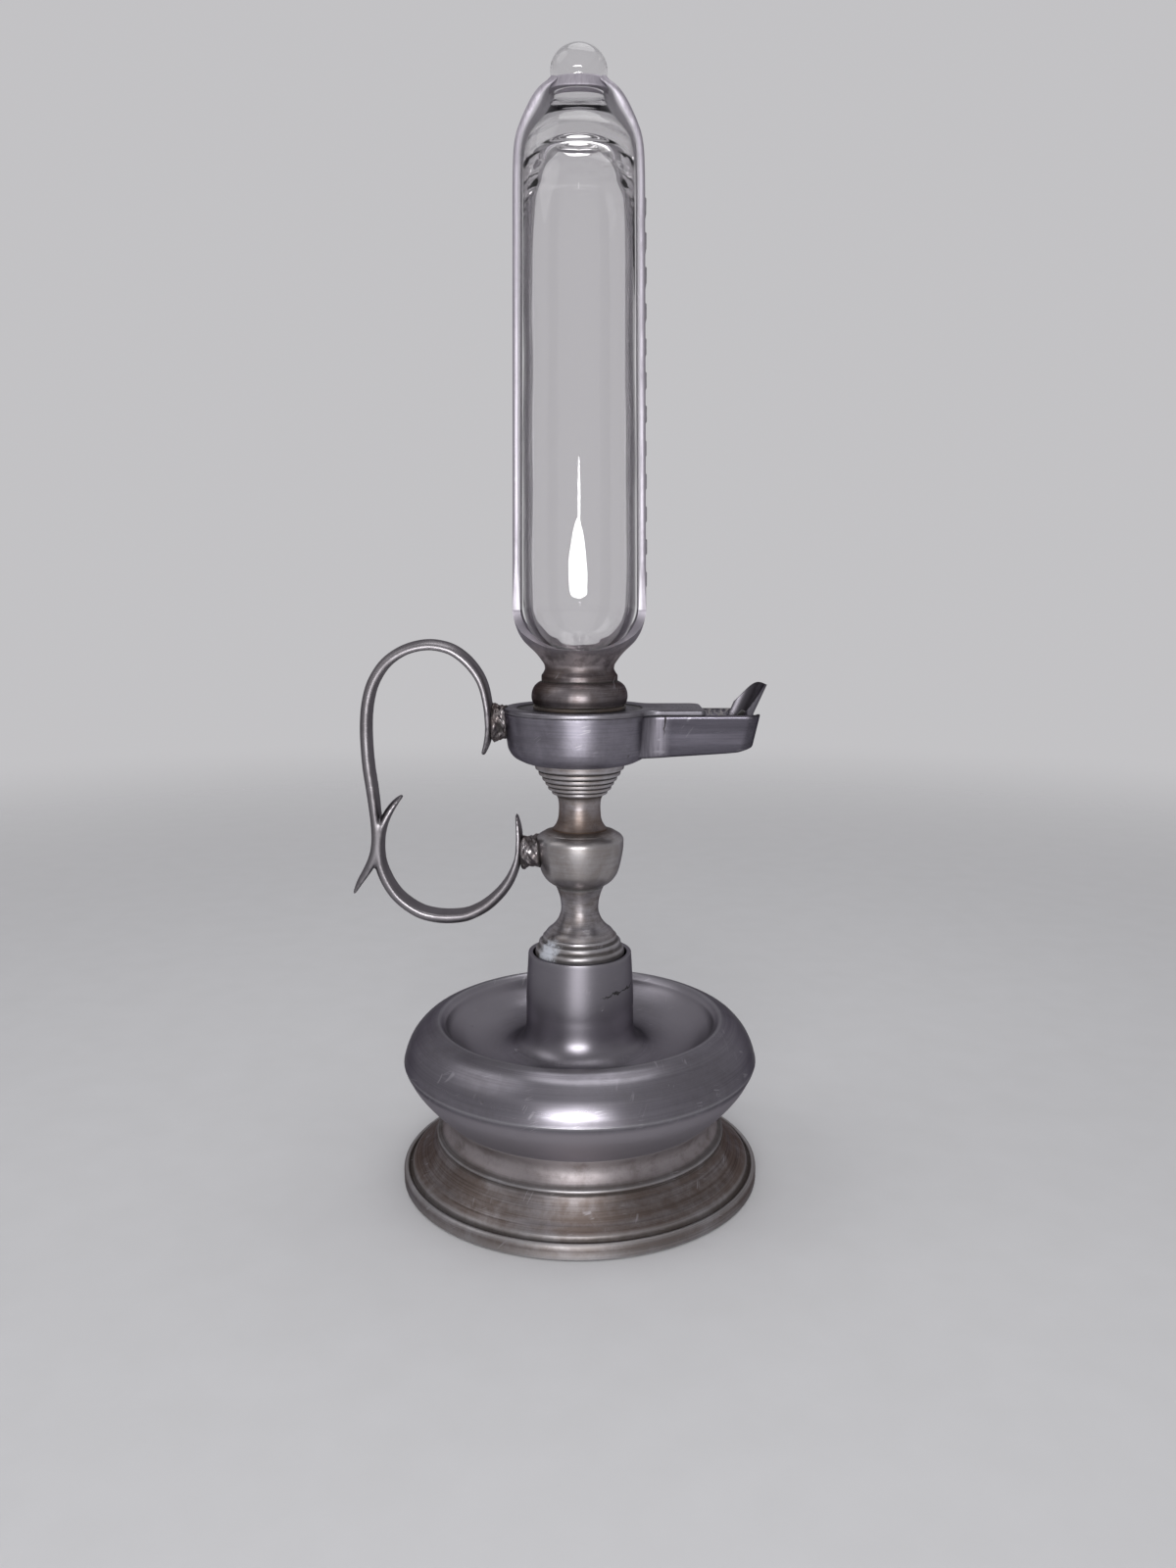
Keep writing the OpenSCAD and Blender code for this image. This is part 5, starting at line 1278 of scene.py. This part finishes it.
inner_line = np.vstack([
    np.stack([straight_r - strap_t, straight_z], 1)[:-1],
    smooth(np.vstack([
        steps_from([shoulder_r, shoulder_z], [[0.1, -12], [-0.02, -6.2], [-0.2, -1.7], [-0.95, 2.1],
                                              [-2.45, 5.3], [-4.5, 8.2], [-6.2, 10.8]]),
        steps_from([crown_r, crown_z], [[1.3, -0.6], [0.9, 0.2], [0.8, 1.0]])]) - [strap_t, 0], 8)])
strap_pewter = pewter("pewter_strap", clean=(0.47, 0.443, 0.493), tarnish=(0.41, 0.383, 0.427), cover=0.3,
                      rough=0.54, skin=0.02, pitted=0.02, marked=0.7, filed=(2400.0, 2400.0, 60.0))
kept = point_layer(strap_pewter.node_tree, "inside")
# Painted light: the faces towards the glass are coloured paler and less metallic, standing in for the light
# seen on them through the glass
stain(strap_pewter, ramp(strap_pewter.node_tree, kept, 0.3, 0.8), (0.62, 0.60, 0.64), rough=0.5, metal=0.35)
corner_turn = np.radians(np.linspace(0, 90, 5))
for name, side, turn in (("plain_strap", -1, 0.3), ("scale_strap", 1, 2.1)):
    z = outer_line[:, 1:]
    wide = strap_y * (1 + 0.012 * np.sin(z / 13.0 + turn) * np.clip((z - root_z) / 8, 0, 1))
    wide = wide * (1 + 0.36 * gentle((z - crown_z + 9) / 11))
    filed = 0.95 * np.clip((z - root_z) / 14, 0.02, 1)
    across, through = [], []
    for y_side, x_side in ((1, 1), (-1, 1), (-1, -1), (1, -1)):
        arc = corner_turn if y_side * x_side > 0 else corner_turn[::-1]
        across.append(y_side * (wide - filed * (1 - np.cos(arc))))
        through.append(0.5 + x_side * (0.5 - filed / strap_t * (1 - np.sin(arc))))
    y, share = np.hstack(across), np.hstack(through)
    x = inner_line[:, :1] + (outer_line[:, :1] - inner_line[:, :1]) * share
    zz = inner_line[:, 1:] + (outer_line[:, 1:] - inner_line[:, 1:]) * share
    bow_in = np.clip((zz - crown_z + 3) / 5, 0, 1)
    x = x - bow_in ** 2 * crown_r * (1 - np.clip(1 - np.abs(y / crown_r) ** eye, 0.02, 1) ** (1 / eye))
    strap = put(name + "_bar", np.stack([side * x, y, zz], -1), quads(len(z), y.shape[1], wrap_cols=True),
                fill=True, inside=np.clip(1.3 - 2.6 * share, 0, 1))
    strap.data.materials.append(strap_pewter)
    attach(strap, "reservoir")
    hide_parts(name)

# Hour figures: raised Roman numerals, cast with the right strap and read from the falling oil level.
# Their tops are rubbed bright and dirt has stayed round their feet.
figure_h, letter_w, stroke_w, letter_gap, figure_up, first_z = 5.4, 3.5, 0.95, 0.7, 0.6, 9.0
hours = ["VI", "VII", "VIII", "IX", "X", "XI", "XII", "I", "II", "III", "IIII", "V"]
left_y, right_y, stroke_foot, stroke_top = stroke_w / 2, letter_w - stroke_w / 2, 0.3, figure_h - 0.3
STROKES = {"I": [(left_y, stroke_foot, left_y, stroke_top)],
           "V": [(left_y, stroke_top, letter_w / 2, 0.35), (right_y, stroke_top, letter_w / 2, 0.35)],
           "X": [(left_y, stroke_foot, right_y, stroke_top), (right_y, stroke_foot, left_y, stroke_top)]}
bars = []
pitch = (straight_top - root_z - figure_h - first_z + 2) / (len(hours) - 1)
for number, word in enumerate(hours):
    widths = [stroke_w if letter == "I" else letter_w for letter in word]
    left = -(sum(widths) + letter_gap * (len(word) - 1)) / 2
    foot_z = first_z + (len(hours) - 1 - number) * pitch - figure_h / 2
    for letter, width in zip(word, widths):
        bars += [(left + y0, foot_z + z0, left + y1, foot_z + z1) for y0, z0, y1, z1 in STROKES[letter]]
        left += width + letter_gap
bars = np.array(bars)
u = np.concatenate([[0, 0.04], np.linspace(0.1, 0.9, 6), [0.96, 1]])
v = np.linspace(-1, 1, 9)
along = bars[:, 2:] - bars[:, :2]
across = np.stack([-along[:, 1], along[:, 0]], 1) / np.linalg.norm(along, axis=1)[:, None]
tip = (u == 0) | (u == 1)
taper = np.where(tip, 0.75, 1.0)
crest = np.sqrt(np.clip(1 - v ** 4, 0, 1))
middle = bars[:, None, :2] + along[:, None, :] * u[None, :, None]
off_line = (v[None, None, :] * taper[None, :, None])[..., None] * stroke_w / 2
place = middle[:, :, None, :] + across[:, None, None, :] * off_line
end_height = np.where(tip, 0.0, np.where((u < 0.09) | (u > 0.91), 0.8, 1.0))
rise = np.broadcast_to(figure_up * crest[None, None, :] * end_height[None, :, None], place.shape[:3])
lean_back = math.atan((cage_r - shoulder_r - 0.1) / (straight_top - root_z))
face_x = cage_r - place[..., 1] * math.sin(lean_back) + (rise - 0.1) * math.cos(lean_back)
face_z = root_z + place[..., 1] * math.cos(lean_back) + (rise - 0.1) * math.sin(lean_back)
figure_points = np.stack([face_x, place[..., 0], face_z], -1)
block = len(u) * len(v)
patch = quads(len(u), len(v))
under_u = np.arange(len(u) - 1)
floor_quads = np.stack([under_u * len(v), (under_u + 1) * len(v), (under_u + 1) * len(v) + len(v) - 1,
                        under_u * len(v) + len(v) - 1], 1)
patch = np.vstack([patch[:, ::-1], floor_quads[:, ::-1]])
figure_faces = (patch[None] + (np.arange(len(bars)) * block)[:, None, None]).reshape(-1, 4)
figures = put("hour_numerals", figure_points, figure_faces, wear=np.clip(rise / figure_up, 0, 1) ** 3,
              grime=np.clip(1 - rise / figure_up * 2, 0, 1))
figures.data.materials.append(pewter("pewter_figures", clean=(0.38, 0.365, 0.395),
                                     tarnish=(0.25, 0.235, 0.255), cover=0.3, rough=0.30, skin=0.02))
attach(figures, "reservoir")
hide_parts("hour_figures")

# Crown ring: flat pewter eye, a little squared, that joins the two straps round the glass knob.
# Its edges are rounded by filing and handling.
eye_r = 8.6
crown_profile = eased([[eye_r + 1, crown_z], [crown_r - 0.2, crown_z], [crown_r - 0.7, crown_top],
                       [eye_r, crown_top], [eye_r, crown_z], [eye_r + 1, crown_z]], [0.7, 0.7, 0.4, 0.4])
a = np.linspace(0, 2 * np.pi, 144, endpoint=False)[None, :]
r, z = crown_profile[:, :1], crown_profile[:, 1:]
square = (np.abs(np.cos(a)) ** eye + np.abs(np.sin(a)) ** eye) ** (-1 / eye)
r = r * (1 + (square - 1) * np.clip((r - eye_r) / (crown_r - eye_r), 0, 1))
crown = put("crown_ring_filed", np.stack([r * np.cos(a), r * np.sin(a), np.broadcast_to(z, r.shape)], -1),
            quads(len(r), a.size, wrap_cols=True))
crown.data.materials.append(strap_pewter)
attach(crown, "reservoir")
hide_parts("crown_ring")
